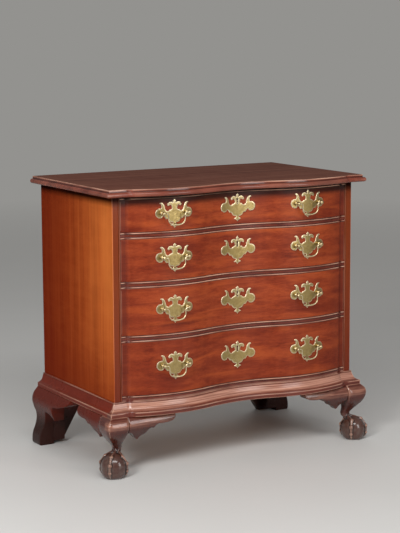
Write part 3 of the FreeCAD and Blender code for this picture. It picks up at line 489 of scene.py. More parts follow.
# Kinds of node: Blender's name, settings, the inputs that values go to in order, and the output.
NODES = {"place": ("TexCoord", {}, (), "Object"),
         "mapping": ("Mapping", {}, ("Vector", "Location", "Scale"), 0),
         "noise": ("TexNoise", {}, ("Vector", "Scale", "Detail", "Roughness", "Distortion"), "Fac"),
         "hollow": ("Attribute", {"attribute_name": "hollow"}, (), "Fac"),
         "x": ("SeparateXYZ", {}, (0,), 0),
         "y": ("SeparateXYZ", {}, (0,), 1),
         "z": ("SeparateXYZ", {}, (0,), 2),
         "range": ("MapRange", {}, (0, 1, 2, 3, 4), 0),
         "mix": ("Mix", {"data_type": "RGBA"}, (0, 6, 7), 2),
         "plus": ("Math", {"operation": "ADD"}, (0, 1), 0),
         "minus": ("Math", {"operation": "SUBTRACT"}, (0, 1), 0),
         "times": ("Math", {"operation": "MULTIPLY"}, (0, 1), 0),
         "greater": ("Math", {"operation": "MAXIMUM"}, (0, 1), 0),
         "size": ("Math", {"operation": "ABSOLUTE"}, (0,), 0),
         "length": ("VectorMath", {"operation": "LENGTH"}, (0,), "Value"),
         "bump": ("Bump", {}, ("Height", "Strength", "Distance"), 0),
         "principled": ("BsdfPrincipled", {}, (), 0),
         "emission": ("Emission", {}, ("Color", "Strength"), 0),
         "background": ("Background", {}, ("Color", "Strength"), 0),
         "mix shader": ("MixShader", {}, (0, 1, 2), 0),
         "camera ray": ("LightPath", {}, (), "Is Camera Ray"),
         "glossy ray": ("LightPath", {}, (), "Is Glossy Ray"),
         "transmission ray": ("LightPath", {}, (), "Is Transmission Ray"),
         "material output": ("OutputMaterial", {}, ("Surface",), None),
         "world output": ("OutputWorld", {}, ("Surface",), None)}


def linear(code):
    """Linear colour of an sRGB hex value."""
    parts = [int(code[i:i + 2], 16) / 255 for i in (1, 3, 5)]
    return tuple(v / 12.92 if v <= 0.04045 else ((v + 0.055) / 1.055) ** 2.4 for v in parts)


def put(tree, node, values):
    """Sets a node's inputs, each from another node's output or to a value."""
    for key, value in values.items():
        socket = node.inputs[key]
        if isinstance(value, bpy.types.NodeSocket):
            tree.links.new(value, socket)
        else:
            socket.default_value = (*value, 1.0) if socket.type == "RGBA" else value


def add(tree, kind, *values):
    """Adds a node of a kind, with values for its inputs in order, and gives its output."""
    name, settings, keys, output = NODES[kind]
    node = tree.nodes.new("ShaderNode" + name)
    for setting, value in settings.items():
        setattr(node, setting, value)
    put(tree, node, dict(zip(keys, values)))
    return node if output is None else node.outputs[output]


def new_material(name):
    """An empty material with a Principled shader on its output."""
    material = bpy.data.materials.new(name)
    material.use_nodes = True
    tree = material.node_tree
    tree.nodes.clear()
    shader = add(tree, "principled")
    add(tree, "material output", shader)
    return tree, shader.node


def figure(tree, lengths, detail=3.0, roughness=0.55, distortion=0.0, offset=0.0):
    """Noise whose cells have the given lengths along X, Y and Z, in millimetres."""
    start = (offset, offset * 0.7, offset * 1.3)
    scale = tuple(1 / (MM * length) for length in lengths)
    place = add(tree, "mapping", add(tree, "place"), start, scale)
    return add(tree, "noise", place, 1.0, detail, roughness, distortion)


def layer(tree, under, over, factor, *span):
    """One colour laid over another by a factor; span is the factor's low, high and their strengths."""
    return add(tree, "mix", add(tree, "range", factor, *span), under, over)


def between(tree, value, rise, fall):
    """A factor that rises over one span of a value and falls over another."""
    return add(tree, "times", add(tree, "range", value, *rise), add(tree, "range", value, *fall))


def distance(tree, axis):
    """An object coordinate, x, y or z, in millimetres."""
    return add(tree, "times", add(tree, axis, add(tree, "place")), 1 / MM)


def grained(lengths, axis):
    """Lengths along X, Y and Z for cells that run along one axis."""
    long, wide = lengths
    return tuple(long if i == axis else wide for i in range(3))


def shaded(colour, red, green, blue):
    """A colour with each of its parts multiplied."""
    return tuple(part * by for part, by in zip(colour, (red, green, blue)))


def mitre_wear(tree):
    """Wear down the front corners' mitres, from the knee to the top of the moulding's slope."""
    depth = distance(tree, "y")
    aside = add(tree, "plus", add(tree, "size", distance(tree, "x")), depth)
    off = add(tree, "size", add(tree, "minus", aside, HALF_CASE + Y_FRONT))
    made = add(tree, "range", off, 3.0, 0.6, 0.0, 0.8)
    for factor in (between(tree, distance(tree, "z"), (118, 128), (FOOT_HEIGHT + 46, FOOT_HEIGHT + 43)),
                   add(tree, "range", figure(tree, (9, 9, 9), detail=2), 0.35, 0.6),
                   add(tree, "range", depth, Y_FRONT + 1, Y_FRONT - 1)):
        made = add(tree, "times", made, factor)
    return made


def mahogany(name, axis, colour, aged, shine, coat, rough, coat_rough=0.14, dirt=0.6, worn=0.3,
             bends=1.0):
    """Mahogany under old varnish: broad bands, ribbon, fine streaks and pores along the grain.

    Bands are the growth rings cut at a slant, about 30 mm apart; streaks are 3 mm; pores are 0.4 mm
    by 9 mm, drawn coarse enough to show. Quirks, gaps and the hollows between claws are darkened by
    grime and painted shade, and arrises, bead crests and knuckles are lightened by wear and a painted
    highlight, by the curvature that the mesh carries, times bends.
    """
    tree, shader = new_material(name)
    dark, light = shaded(colour, 0.5, 0.38, 0.42), shaded(colour, 1.42, 1.85, 2.0)
    bands = figure(tree, grained((900, 30), axis), distortion=0.5)
    streaks = figure(tree, grained((260, 3.4), axis), roughness=0.6, offset=3.1)
    fine = figure(tree, grained((90, 1.0), axis), detail=2, offset=7.7)
    ribbon = figure(tree, grained((30, 120), axis), detail=2, distortion=0.6, offset=5.3)
    pores = figure(tree, grained((10, 0.42), axis), detail=1, offset=11.0)
    tone = add(tree, "plus", add(tree, "range", bands, 0.3, 0.72, 0.0, 0.55),
               add(tree, "range", streaks, 0.28, 0.74, 0.0, 0.45))
    made = layer(tree, dark, colour, tone, 0.1, 0.5)
    made = layer(tree, made, light, tone, 0.48, 0.95)
    made = layer(tree, made, light, ribbon, 0.4, 0.7, 0.0, 0.3)
    made = layer(tree, made, dark, fine, 0.52, 0.8, 0.0, 0.3)
    made = layer(tree, made, shaded(dark, 0.5, 0.6, 0.6), pores, 0.6, 0.7, 0.0, 0.45)
    made, coat = aged(tree, made, colour, coat)
    clouds = figure(tree, (170, 170, 170), offset=2.0)
    made = layer(tree, made, dark, clouds, 0.5, 0.8, 0.0, 0.25)
    hollow = add(tree, "times", add(tree, "hollow"), bends)
    # Wear and a painted highlight: arrises, bead crests and knuckles lighten where the mesh is rounded.
    wear_and_highlight = add(tree, "times", add(tree, "range", hollow, -0.3, -0.75, 0.0, worn),
               add(tree, "range", clouds, 0.35, 0.6, 0.3, 1.0))
    made = add(tree, "mix", add(tree, "greater", wear_and_highlight, mitre_wear(tree)), made, linear(WORN_AND_HIGHLIGHT))
    # Grime and painted shade: quirks, gaps and the hollows between claws darken by the curvature.
    made = layer(tree, made, linear(GRIME_AND_SHADE), hollow, 0.08, 0.45, 0.0, dirt)
    smear = figure(tree, (45, 45, 45), detail=4, offset=9.0)
    gloss = add(tree, "plus", add(tree, "range", smear, 0.3, 0.75, rough - 0.05, rough + 0.08),
                add(tree, "range", pores, 0.6, 0.72, 0.0, 0.14))
    height = add(tree, "minus", add(tree, "times", streaks, 0.4), add(tree, "range", pores, 0.6, 0.7))
    planed = add(tree, "times", figure(tree, grained((240, 26), axis)), 1.6)
    bump = add(tree, "bump", add(tree, "plus", height, planed), 0.22, 0.00016)
    put(tree, shader, {"Base Color": made, "Roughness": gloss, "Normal": bump, "IOR": 1.5,
                       "Specular IOR Level": shine, "Coat Weight": coat, "Coat Roughness": coat_rough,
                       "Coat IOR": 1.6})


def shaded_front(tree, made, colour, coat):
    """The figure has broad level clouds; the front darkens towards its ends, on the flat end strips and
    low down.

    A painted shadow under the top darkens the highest front's upper edge nearly to black.
    """
    aside, height = add(tree, "size", distance(tree, "x")), distance(tree, "z")
    clouds = figure(tree, (190, 90, 30), distortion=0.5, offset=12.0)
    old = shaded(colour, 0.45, 0.32, 0.4)
    made = layer(tree, made, shaded(colour, 1.9, 2.6, 2.0), clouds, 0.5, 0.68, 0.0, 0.42)
    made = layer(tree, made, shaded(colour, 0.5, 0.34, 0.38), clouds, 0.5, 0.34, 0.0, 0.5)
    made = layer(tree, made, old, aside, 290, HALF_OPENING, 0.0, 0.4)
    made = layer(tree, made, shaded(colour, 0.35, 0.25, 0.4), aside, BLOCK_X - 5, BLOCK_X + 2, 0.0, 0.5)
    made = layer(tree, made, old, height, 420, 240, 0.0, 0.16)
    # Painted shadow of the top's overhang on the highest front, nearly black.
    made = layer(tree, made, linear(GRIME_AND_SHADE), height, Z_UNDER_TOP - 34, Z_UNDER_TOP - 19, 0.0, 0.85)
    return made, coat


def rail_shadow_and_sheen(tree, made, colour, coat):
    """Painted shadow under the top makes the highest rail nearly black and takes its coat away.

    The front moulding's slope carries a painted highlight in pale streaks; the side mouldings are
    redder and duller.
    """
    height, depth = distance(tree, "z"), distance(tree, "y")
    slope = between(tree, height, (FOOT_HEIGHT + 14, FOOT_HEIGHT + 19),
                    (FOOT_HEIGHT + 39, FOOT_HEIGHT + 35))
    slope = add(tree, "times", slope, add(tree, "range", depth, Y_FRONT + 1, Y_FRONT - 2))
    # Painted highlight: pale streaks stand in for a lamp's sheen on the moulding's slope.
    streak = add(tree, "range", figure(tree, (170, 170, 2.4), detail=2, offset=1.7), 0.36, 0.58, 0.3, 0.9)
    made = add(tree, "mix", add(tree, "times", slope, streak), made, linear("#bd8a75"))
    side = add(tree, "range", depth, Y_FRONT + 1, Y_FRONT + 3)
    made = layer(tree, made, shaded(colour, 1.5, 1.25, 1.2), side, 0, 1, 0.0, 0.6)
    # Painted shadow under the top: nearly black, with the coat taken away.
    up = add(tree, "range", height, Z_UNDER_TOP - 22, Z_UNDER_TOP - 11)
    made = layer(tree, made, linear("#120604"), up, 0, 1, 0.0, 0.97)
    return made, add(tree, "range", add(tree, "greater", up, side), 0, 1, coat, 0.03)


def foot_wear_and_painted_light(tree, made, colour, coat):
    """Claws and balls are greyish brown: rubbed polish, and a painted reflection of the grey surroundings.
    The swell of the front knees carries a painted highlight in pale streaks.

    The side brackets and rear feet are redder and duller, and painted shade darkens them low down.
    """
    height, depth = distance(tree, "z"), distance(tree, "y")
    # Greyish brown below the ankle: rubbed polish, and a painted reflection of the grey surroundings.
    patchy = add(tree, "range", figure(tree, (14, 14, 14), offset=1.0), 0.35, 0.65, 0.3, 0.85)
    rub_and_reflection = add(tree, "times", add(tree, "range", height, 86, 60), patchy)
    made = add(tree, "mix", rub_and_reflection, made, linear("#56433b"))
    made = layer(tree, made, shaded(colour, 1.7, 1.3, 1.1), height, 120, 160, 0.0, 0.55)
    # Painted highlight: pale streaks on the swell of the front knees.
    swell = add(tree, "times", between(tree, height, (141, 155), (174, 166)),
                add(tree, "range", depth, Y_FRONT - 10, Y_FRONT - 20))
    streak = add(tree, "range", figure(tree, (60, 60, 4), detail=2, offset=2.2), 0.36, 0.6, 0.12, 0.66)
    made = add(tree, "mix", add(tree, "times", swell, streak), made, linear("#a9745f"))
    side = add(tree, "range", depth, Y_FRONT + 24, Y_FRONT + 44)
    made = layer(tree, made, shaded(colour, 2.1, 1.5, 1.3), side, 0, 1, 0.0, 0.7)
    # Painted shade: the side brackets and rear feet darken low down.
    painted_low_shade = add(tree, "times", side, add(tree, "range", height, 135, 70, 0.0, 0.85))
    made = add(tree, "mix", painted_low_shade, made, linear("#1e100c"))
    return made, add(tree, "range", side, 0, 1, coat, 0.06)


def side_tones_and_top_shadow(tree, made, colour, coat):
    """Sides are lighter and orange towards the front, and dark red-brown at the back and low down.

    Their front edges are as dark and glossy as the rails. A painted shadow under the top darkens
    them nearly to black there and takes most of their coat away.
    """
    depth, height = distance(tree, "y"), distance(tree, "z")
    outside = add(tree, "range", add(tree, "size", distance(tree, "x")), HALF_CASE - 2.2, HALF_CASE - 0.8)
    old = shaded(colour, 0.4, 0.22, 0.3)
    made = layer(tree, made, old, depth, -150, 230, 0.0, 0.84)
    made = layer(tree, made, old, height, 430, 220, 0.0, 0.5)
    near = add(tree, "times", add(tree, "range", depth, 60, -190),
               add(tree, "range", height, 230, 560, 0.1, 1.0))
    lighter_patches = add(tree, "range", figure(tree, (70, 70, 700), offset=8.5), 0.35, 0.65, 0.35, 0.95)
    made = add(tree, "mix", add(tree, "times", near, lighter_patches), made, shaded(colour, 1.6, 2.6, 2.9))
    made = layer(tree, made, shaded(colour, 0.3, 0.22, 0.45), outside, 0, 1, 0.85, 0.0)
    # Painted shadow under the top: nearly black, with the coat taken away.
    under = add(tree, "range", height, Z_UNDER_TOP - 32, Z_UNDER_TOP - 12)
    made = layer(tree, made, linear("#140705"), under, 0, 1, 0.0, 0.95)
    return made, add(tree, "times", add(tree, "range", outside, 0, 1, 0.25, coat),
                     add(tree, "range", under, 0, 1, 1.0, 0.1))


def rubbed_top(tree, made, colour, coat):
    """The top is greyed by rubbed wax, with a few dark rings of old spills; its edge keeps its gloss."""
    haze = figure(tree, (160, 70, 70), detail=5, roughness=0.65, offset=4.0)
    spots = figure(tree, (16, 16, 16), detail=2, offset=6.0)
    made = layer(tree, made, shaded(colour, 1.25, 1.6, 1.7), haze, 0.35, 0.7, 0.1, 0.4)
    made = layer(tree, made, shaded(colour, 0.35, 0.25, 0.3), spots, 0.7, 0.76, 0.0, 0.4)
    z_top = float(TOP_HIGH[2])
    edge = add(tree, "range", distance(tree, "z"), z_top - 0.3, z_top - 2.6)
    red = layer(tree, linear("#5c2014"), linear("#8a4433"), haze, 0.35, 0.65)
    return layer(tree, made, red, edge, 0, 1, 0.0, 0.8), add(tree, "range", edge, 0, 1, coat, 0.6)


def pine(name, colour):
    """Northern pine, hand-planed and oxidised: honey-brown bands, dark latewood lines, old dust."""
    tree, shader = new_material(name)
    bands = figure(tree, (420, 22, 22), distortion=0.7)
    lines = figure(tree, (260, 3.4, 3.4), detail=2, offset=3.0)
    dirt = figure(tree, (90, 90, 90), detail=5, roughness=0.65, offset=8.0)
    made = layer(tree, shaded(colour, 0.8, 0.64, 0.55), shaded(colour, 1.25, 1.35, 1.35), bands, 0.3, 0.7)
    made = layer(tree, made, shaded(colour, 0.45, 0.32, 0.25), lines, 0.52, 0.72, 0.0, 0.5)
    made = layer(tree, made, shaded(colour, 0.34, 0.26, 0.26), dirt, 0.42, 0.75, 0.0, 0.5)
    planed = add(tree, "times", figure(tree, (300, 28, 28), detail=1, offset=5.0), 2.0)
    height = add(tree, "plus", add(tree, "times", lines, 0.5), planed)
    put(tree, shader, {"Base Color": made, "Roughness": add(tree, "range", dirt, 0.3, 0.7, 0.62, 0.82),
                       "Normal": add(tree, "bump", height, 0.4, 0.0004)})


def brass(name, colour):
    """Cast brass, filed and polished, under thin old lacquer: pale greenish gold, brown in hollows, with a
    painted highlight in pale cream on its rounded edges and heads.
    """
    tree, shader = new_material(name)
    tarnish = figure(tree, (9, 9, 9), detail=5, roughness=0.6)
    speck = figure(tree, (1.6, 1.6, 1.6), detail=2, offset=2.0)
    hollow = add(tree, "hollow")
    made = layer(tree, colour, shaded(colour, 0.72, 0.68, 0.6), tarnish, 0.35, 0.7)
    made = layer(tree, made, shaded(colour, 0.38, 0.32, 0.2), speck, 0.62, 0.76, 0.0, 0.25)
    made = layer(tree, made, linear("#4a3618"), hollow, 0.05, 0.5, 0.0, 0.7)
    # Painted highlight: pale cream on filed edges, lobes and post heads, where the mesh is rounded.
    made = layer(tree, made, linear("#fbf0cf"), hollow, -0.05, -0.4, 0.0, 0.7)
    cast = figure(tree, (5, 5, 5), detail=4, offset=3.0)
    bump = add(tree, "bump", add(tree, "plus", cast, add(tree, "times", speck, 0.3)), 0.6, 0.0005)
    put(tree, shader, {"Base Color": made, "Metallic": 1.0, "Normal": bump,
                       "Roughness": add(tree, "range", tarnish, 0.3, 0.75, 0.26, 0.44),
                       "Coat Weight": 0.35, "Coat Roughness": 0.1})


def iron(name, colour):
    """Forged iron, oiled and rusted in patches: dark grey with brown bloom."""
    tree, shader = new_material(name)
    rust = figure(tree, (14, 14, 14), detail=6, roughness=0.7)
    put(tree, shader, {"Base Color": layer(tree, colour, linear("#4a2b1c"), rust, 0.48, 0.62),
                       "Metallic": add(tree, "range", rust, 0.48, 0.62, 0.95, 0.25),
                       "Roughness": add(tree, "range", rust, 0.4, 0.65, 0.38, 0.8),
                       "Normal": add(tree, "bump", rust, 0.5, 0.0004)})


# ---- Top board ----------------------------------------------------------------------------------
def top_profile():
    """Section of the top's edge from its underside to its upper face; zero is at the nose."""
    under, top = Z_UNDER_TOP, TOP_HIGH[2]
    nose = arc((-7, under + 7), 7, -90, 96, 19)
    lip = np.array([(-8.3, under + 14.7), (-8.5, under + 15.6), (-8.5, top - 2.4)])
    arris = arc((-10.7, top - 2.2), 2.2, 0, 90, 6)
    return np.concatenate([[(-14, under)], nose, lip, arris, [(-12.2, top), (-16, top), (-20, top)]])


def top_shells():
    """The edge section carried round the ends and along the curved front, closed by flat faces."""
    profile = top_profile()
    out, z = profile.T
    half = TOP_HIGH[0] + out
    front = along_front(np.column_stack([TOP_OVERHANG + out, z]), half)
    y_back = TOP_HIGH[1]
    y_corner = Y_FRONT - TOP_OVERHANG - out
    ends = []
    for t in (0.0, 0.01, 0.5, 0.99):
        y = y_back + (y_corner - y_back) * t
        ends.append(np.stack([half, y, z], -1))
    ends = np.stack(ends)
    left = ends * (-1, 1, 1)
    ring = np.concatenate([left, front, ends[::-1]])
    shells = [surface(ring)]
    last = len(ring) - 1
    for column in (0, len(profile) - 1):
        shells.append((ring[:, column], [[0, 1, last - 1, last], list(range(1, last))]))
    back = np.concatenate([ring[0], ring[-1][::-1]])
    shells.append((back, [list(range(len(back)))]))
    return shells


# ---- Case ---------------------------------------------------------------------------------------
def bead_points(at, turn, radius):
    """A half-round bead with a quirk beside it, as (out, along) from the edge at zero."""
    bead = arc((0, radius), radius, -90, 90, 11)
    bead[:, 0] = np.maximum(bead[:, 0], 0)
    quirk = np.array([(-0.7, 0.3), (-0.9, 0.7), (-0.5, 1.2), (0, 1.5), (0, 1.7), (0, 1.95), (0, 2.4)])
    made = np.concatenate([[(-1.2, 0)], bead, quirk + (0, 2 * radius)])
    made[:, 1] = at + turn * made[:, 1]
    return made[::turn]


def rail_shells(z_low, z_high, beads, radius):
    """A rail with beads on the edges that face an opening, and dovetailed tongues."""
    parts = [bead_points(z, turn, radius) if beaded else np.array([(-1, z), (0, z + turn * 0.6)])[::turn]
             for z, turn, beaded in ((z_low, 1, beads[0]), (z_high, -1, beads[1]))]
    y_back = Y_FRONT + RAIL_DEPTH
    rows = along_front(np.concatenate(parts), HALF_OPENING)
    rows = flat_back(rows, [(y_back, z_high), (y_back, z_low)])
    shells = [surface(rows, wrap_columns=True, caps=True)]
    for side in (1, -1):
        shells.append(tongue(z_low, z_high - z_low, side))
    return shells


def tongue(z_low, thickness, side):
    """Dovetailed tongue of a rail, which flares towards its end."""
    flare, x, end = thickness / 12, HALF_OPENING, HALF_OPENING + TONGUE_LENGTH
    low, high = z_low + thickness / 5, z_low + thickness - thickness / 5
    outline = np.array([(x - 1, low), (x, low), (end, low - flare), (end, high + flare), (x, high),
                        (x - 1, high)]) * (side, 1)
    return prism(outline, facing, Y_FRONT + TONGUE_SET_BACK, Y_FRONT + RAIL_DEPTH)


def mortise(z):
    """Hole for a lock's bolt above z."""
    return block((-MORTISE_HALF, INNER_Y - 10, z - 5), (MORTISE_HALF, INNER_Y - 2, z + MORTISE_HEIGHT))


def runner(low, high):
    """Housing of a drawer runner in the right side."""
    return block((HALF_OPENING - 1, Y_FRONT + RAIL_DEPTH, low),
                 (HALF_OPENING + RUNNER_HOUSING, Y_BOARDS + 1, high))


def side_shells(radius):
    """Right side of the case: beaded front edge, eased corner, rabbet and housings."""
    bead = bead_points(0, 1, radius)
    front = np.column_stack([HALF_OPENING + bead[:, 1], Y_FRONT - bead[:, 0]])[1:]
    corner = arc((HALF_CASE - 1.3, Y_FRONT + 1.3), 1.3, -90, 0, 5)
    rabbet = HALF_OPENING + BACK_LAP
    plan = np.concatenate([front, [(HALF_CASE - 7, Y_FRONT), (HALF_CASE - 3, Y_FRONT)], corner,
                           [(HALF_CASE, Y_FRONT + 3), (HALF_CASE, Y_FRONT + 7), (HALF_CASE, Y_BACK - 6),
                            (HALF_CASE, Y_BACK - 2), (HALF_CASE - 0.6, Y_BACK), (rabbet, Y_BACK),
                            (rabbet, Y_BOARDS), (HALF_OPENING, Y_BOARDS)]])
    body = prism(plan, level, Z_CASE, Z_UNDER_TOP)
    z = Z_CASE + CASE_BOTTOM
    rails = [(low - RAIL_THICKNESS, low) for low, high in OPENINGS[:-1]] + [(z, Z_FIRST)]
    top_rail = (Z_UNDER_TOP - TOP_RAIL_THICKNESS, Z_UNDER_TOP)
    tongues = [tongue(low, high - low, 1) for low, high in rails + [top_rail]]
    runners = [runner(low, high) for low, high in rails]
    bottom = block((HALF_OPENING - 1, Y_FRONT + TONGUE_SET_BACK, Z_CASE - 1),
                   (HALF_OPENING + TONGUE_LENGTH, Y_BOARDS + 1, z))
    return carved([body], [tongues, runners, [bottom]])


# ---- Base moulding ------------------------------------------------------------------------------
def moulding_profile():
    """Bead, cove, fillet and fascia of the base moulding, from its top down; zero is the case."""
    low, top, out = FOOT_HEIGHT, FOOT_HEIGHT + MOULDING_HEIGHT, MOULDING_PROUD
    bead = arc((2.2, top - 2.3), 2.3, 110, -50, 9)
    cove = smooth_path([(4.5, -4.9), (5.2, -7.0), (6.5, -11.2), (8.2, -16.0), (10.8, -21.0),
                        (14.8, -25.0), (20.8, -27.8)], 24) + (0, top)
    fillet = [(20.9, top - 28.1), (21.1, top - 28.6), (out - 0.4, top - 28.8), (out, top - 29.3)]
    fascia = [(out, top - 31), (out, top - 35), (out, low + 4.5), (out, low + 1), (out - 0.3, low + 0.3),
              (out - 1.2, low)]
    return np.concatenate([[(0.2, top - 0.2)], bead, cove, fillet, fascia])


def moulding_front_shells():
    """The base moulding along the front, mitred at both corners, with its shelf."""
    profile = moulding_profile()
    rows = along_front(profile, HALF_CASE + profile[:, 0])
    seat = along_front([(0.2, Z_CASE)], HALF_CASE + 0.2)
    body = rows[:, ::-1]
    x = seat[:, 0, 0]
    back = np.stack([np.stack([x, np.full_like(x, SHELF_HIGH[1]), np.full_like(x, z)], -1)
                     for z in (Z_CASE, FOOT_HEIGHT)], 1)
    shelf_half = SHELF_HIGH[1] - Y_FRONT
    limit = np.minimum(np.abs(x), HALF_CASE - shelf_half)
    back[:, :, 0] = (np.sign(x) * limit)[:, None]
    loop = np.concatenate([body, seat, back], 1)
    return [surface(loop, wrap_columns=True, caps=True)]


def moulding_side_shells():
    """The base moulding along the right side, from the mitre to the back."""
    profile = moulding_profile()
    out, z = profile.T
    shelf = HALF_CASE - MOULDING_SHELF
    section = np.concatenate([np.column_stack([HALF_CASE + out, z]),
                              [(shelf, FOOT_HEIGHT), (shelf, Z_CASE), (HALF_CASE, Z_CASE)]])
    y_start = Y_FRONT - (section[:, 0] - HALF_CASE)
    rows = np.stack([np.column_stack([section[:, 0], y, section[:, 1]])
                     for y in (y_start, np.full_like(y_start, (Y_FRONT + Y_BACK) / 2),
                               np.full_like(y_start, Y_BACK))])
    return [surface(rows, wrap_columns=True, caps=True)]


# ---- Front feet ---------------------------------------------------------------------------------
BALL_Z, BALL_OUT = 34.0, 9.6


def soft_least(a, b, reach):
    """The lesser of two distances, rounded where they meet within reach."""
    h = np.clip(0.5 + 0.5 * (b - a) / reach, 0, 1)
    return b + (a - b) * h - reach * h * (1 - h)


def taper_distance(p, start, end):
    """Distance from a round bar between two points (u, v, z, radius) whose radius runs evenly."""
    a, b = np.array(start[:3]), np.array(end[:3])
    way = b - a
    t = np.clip(((p - a) @ way) / (way @ way), 0, 1)
    return np.linalg.norm(p - a - t[..., None] * way, axis=-1) - (start[3] + (end[3] - start[3]) * t)


def claw_line(turn, ball):
    """Joints of one toe: ankle, three knuckles and the nail's tip, over the ball from above."""
    way = np.array([math.cos(math.radians(turn)), math.sin(math.radians(turn))])
    front = 0.5 + 0.5 * math.cos(math.radians(turn - 45))
    joints = [(*(-8.0 + way * 5), 82.0, 4.0), (*(-4.0 + way * 8), 72.0, 4.6)]
    first = 46 - 8 * front
    for tilt, lift, size in ((first, 2.0, 5.8), ((first + 78) / 2, 1.6, 4.4), (76, 3.4, 6.2),
                             (95, 1.6, 4.6), (107, 2.8, 5.4), (120, 1.4, 4.0), (138, 0.4, 2.4)):
        a = math.radians(tilt)
        flat = 1.0 if tilt < 90 else (math.sin(a) ** 3 - math.cos(a) ** 3) ** (-1 / 3)
        reach = ball * flat + lift - 1.5
        joints.append((*(BALL_OUT + way * reach * math.sin(a)), BALL_Z + reach * math.cos(a), size))
    return joints


def foot_field(p, radius):
    """Distance to the foot: the leg, the ball and four jointed toes, each melting into the next.

    The leg's level section is |u/h|^n + |v/h|^n = 1 about a centre that swings in at the ankle. The
    ball is a sphere above its middle; below it its section is |r/R|^3 + |z/R|^3 = 1.
    """
    z = p[..., 2]
    knots = (52, 60, 67, 73, 79, 86, 97, 107, 118, 129, 139, 147, 158, 168, 177)
    out = smooth(z, knots, (11, 12.5, 9, 5.2, 3.6, 5.2, 13, 21.5, 30.5, 37, 40.2, 41.6, 40.8, 36.4, 26.5))
    back = smooth(z, knots, (3, 9.5, 16.5, 21.5, 23.4, 23.2, 21.8, 22.4, 25.6, 28.8, 30, 30, 30, 30, 30))
    power = smooth(z, knots, (2, 2, 2.05, 2.1, 2.2, 2.4, 2.9, 3.6, 4.2, 4.8, 5.4, 6, 7, 9, 12))
    middle, half = (out - back) / 2, (out + back) / 2
    u, v = np.abs(p[..., 0] - middle), np.abs(p[..., 1] - middle)
    leg = ((u / half) ** power + (v / half) ** power + 1e-9) ** (1 / power) * half - half
    leg = np.maximum(leg, 54 - z)
    round_by = np.hypot(p[..., 0] - BALL_OUT, p[..., 1] - BALL_OUT)
    drop = BALL_Z - z
    below = (round_by ** 3 + np.maximum(drop, 0) ** 3) ** (1 / 3)
    ball = np.where(drop < 0, np.hypot(round_by, drop), below) - radius
    toes = None
    for turn in (45, 135, 225, 315):
        joints = claw_line(turn, radius)
        toe = None
        for start, end in zip(joints, joints[1:]):
            bar = taper_distance(p, start, end)
            toe = bar if toe is None else soft_least(toe, bar, 1.5)
        toes = toe if toes is None else soft_least(toes, toe, 2.0)
    return soft_least(soft_least(leg, toes, 3.5), ball, 1.0)


def foot_shells(ball):
    """The right front foot: for each height and angle, how far out its field last crosses zero.

    The rays start from an axis that leans from the ball's centre to the knee's.
    """
    heights = np.concatenate([np.linspace(0, 2.5, 4)[:-1], np.linspace(2.5, 100, 132)[:-1],
                              np.linspace(100, FOOT_HEIGHT, 60)])
    heights[0] = 0.02
    turns = np.radians(np.linspace(0, 360, 200, endpoint=False))
    centre = smooth(heights, (0, 30, 54, 66, 78, 92, 130, 177), (9.6, 9.6, 8, 0, -9.5, -6, 3, -1.8))
    reach = np.linspace(1, 84, 56)
    way = np.stack([np.cos(turns), np.sin(turns)], -1)
    spread = centre[:, None, None, None] + way[None, :, None] * reach[None, None, :, None]
    up = heights[:, None, None, None]
    p = np.concatenate([spread, np.broadcast_to(up, (*spread.shape[:3], 1))], -1)
    field = foot_field(p, ball)
    last = field.shape[2] - 1 - np.argmax((field < 0)[:, :, ::-1], axis=2)
    last = np.clip(last, 0, field.shape[2] - 2)
    low = reach[last]
    high = reach[last + 1]
    for _ in range(12):
        middle = (low + high) / 2
        q = np.concatenate([centre[:, None, None] + way[None] * middle[..., None],
                            np.broadcast_to(heights[:, None, None], (*middle.shape, 1))], -1)
        within = foot_field(q, ball) < 0
        low, high = np.where(within, middle, low), np.where(within, high, middle)
    q[..., 2] = np.where(heights[:, None] < 0.1, 0.0, q[..., 2])
    points = np.stack([HALF_CASE + q[..., 0], Y_FRONT - q[..., 1], q[..., 2]], -1)
    return [surface(points, wrap_columns=True, caps=True)]


# ---- Brackets -----------------------------------------------------------------------------------
def knee_bracket(place):
    """A scrolled knee bracket; place(along, out, z) puts it beside the leg.

    Its face bulges by a smooth section, and its lower edge is sawn to scrolls and a cusp.
    """
    wing = [(0, 24), (7, 24.4), (13, 22), (19, 15.5), (25, 7.5), (31, 1.2), (34.5, 0.4)]
    scroll = [(36, 1.6), (43, 8.6), (50, 12.6), (57, 15.8), (62, 22), (67, 29.5), (74, 32.6), (82, 31.4)]
    tail = [(84.5, 33), (90, 39.5), (98, 42.8), (108, 42.2), (120, 42.4), (136, 44), (146, 46.6),
            (153, 51.6), (156.4, 58), (KNEE_REACH, 72)]
    lower = np.concatenate([smooth_path(part, 26) for part in (wing, scroll, tail)])
    outline = spaced(np.concatenate([lower[:-1], [(KNEE_REACH, 71.6), (0, 71.6)]]), 1.8)
    knots = (-1, 6, 18, 32, 44, 54, 64, 72)
    bulge = (17, 18, 24, 32, 36, 35.8, 31.6, 26)

    def put(points, depth):
        face = smooth(points[:, 1], knots, bulge)
        fade = np.clip((points[:, 0] - 60) / 97, 0, 1) ** 1.5
        face = face * (1 - 0.12 * fade)
        out = face - depth * (face + 6) / KNEE_DEPTH
        return place(KNEE_START + points[:, 0], out, KNEE_LOW + points[:, 1])

    return sawn(outline, put, KNEE_DEPTH, 1.6, 5.0, back_edge=1.0)


def knee_bracket_shells():
    """The front and side brackets of both front legs."""
    def front(along, out, z):
        return np.column_stack([HALF_CASE - along, Y_FRONT - out, z])

    def side(along, out, z):
        return np.column_stack([HALF_CASE + out, Y_FRONT + along, z])

    return both(knee_bracket(front) + knee_bracket(side))


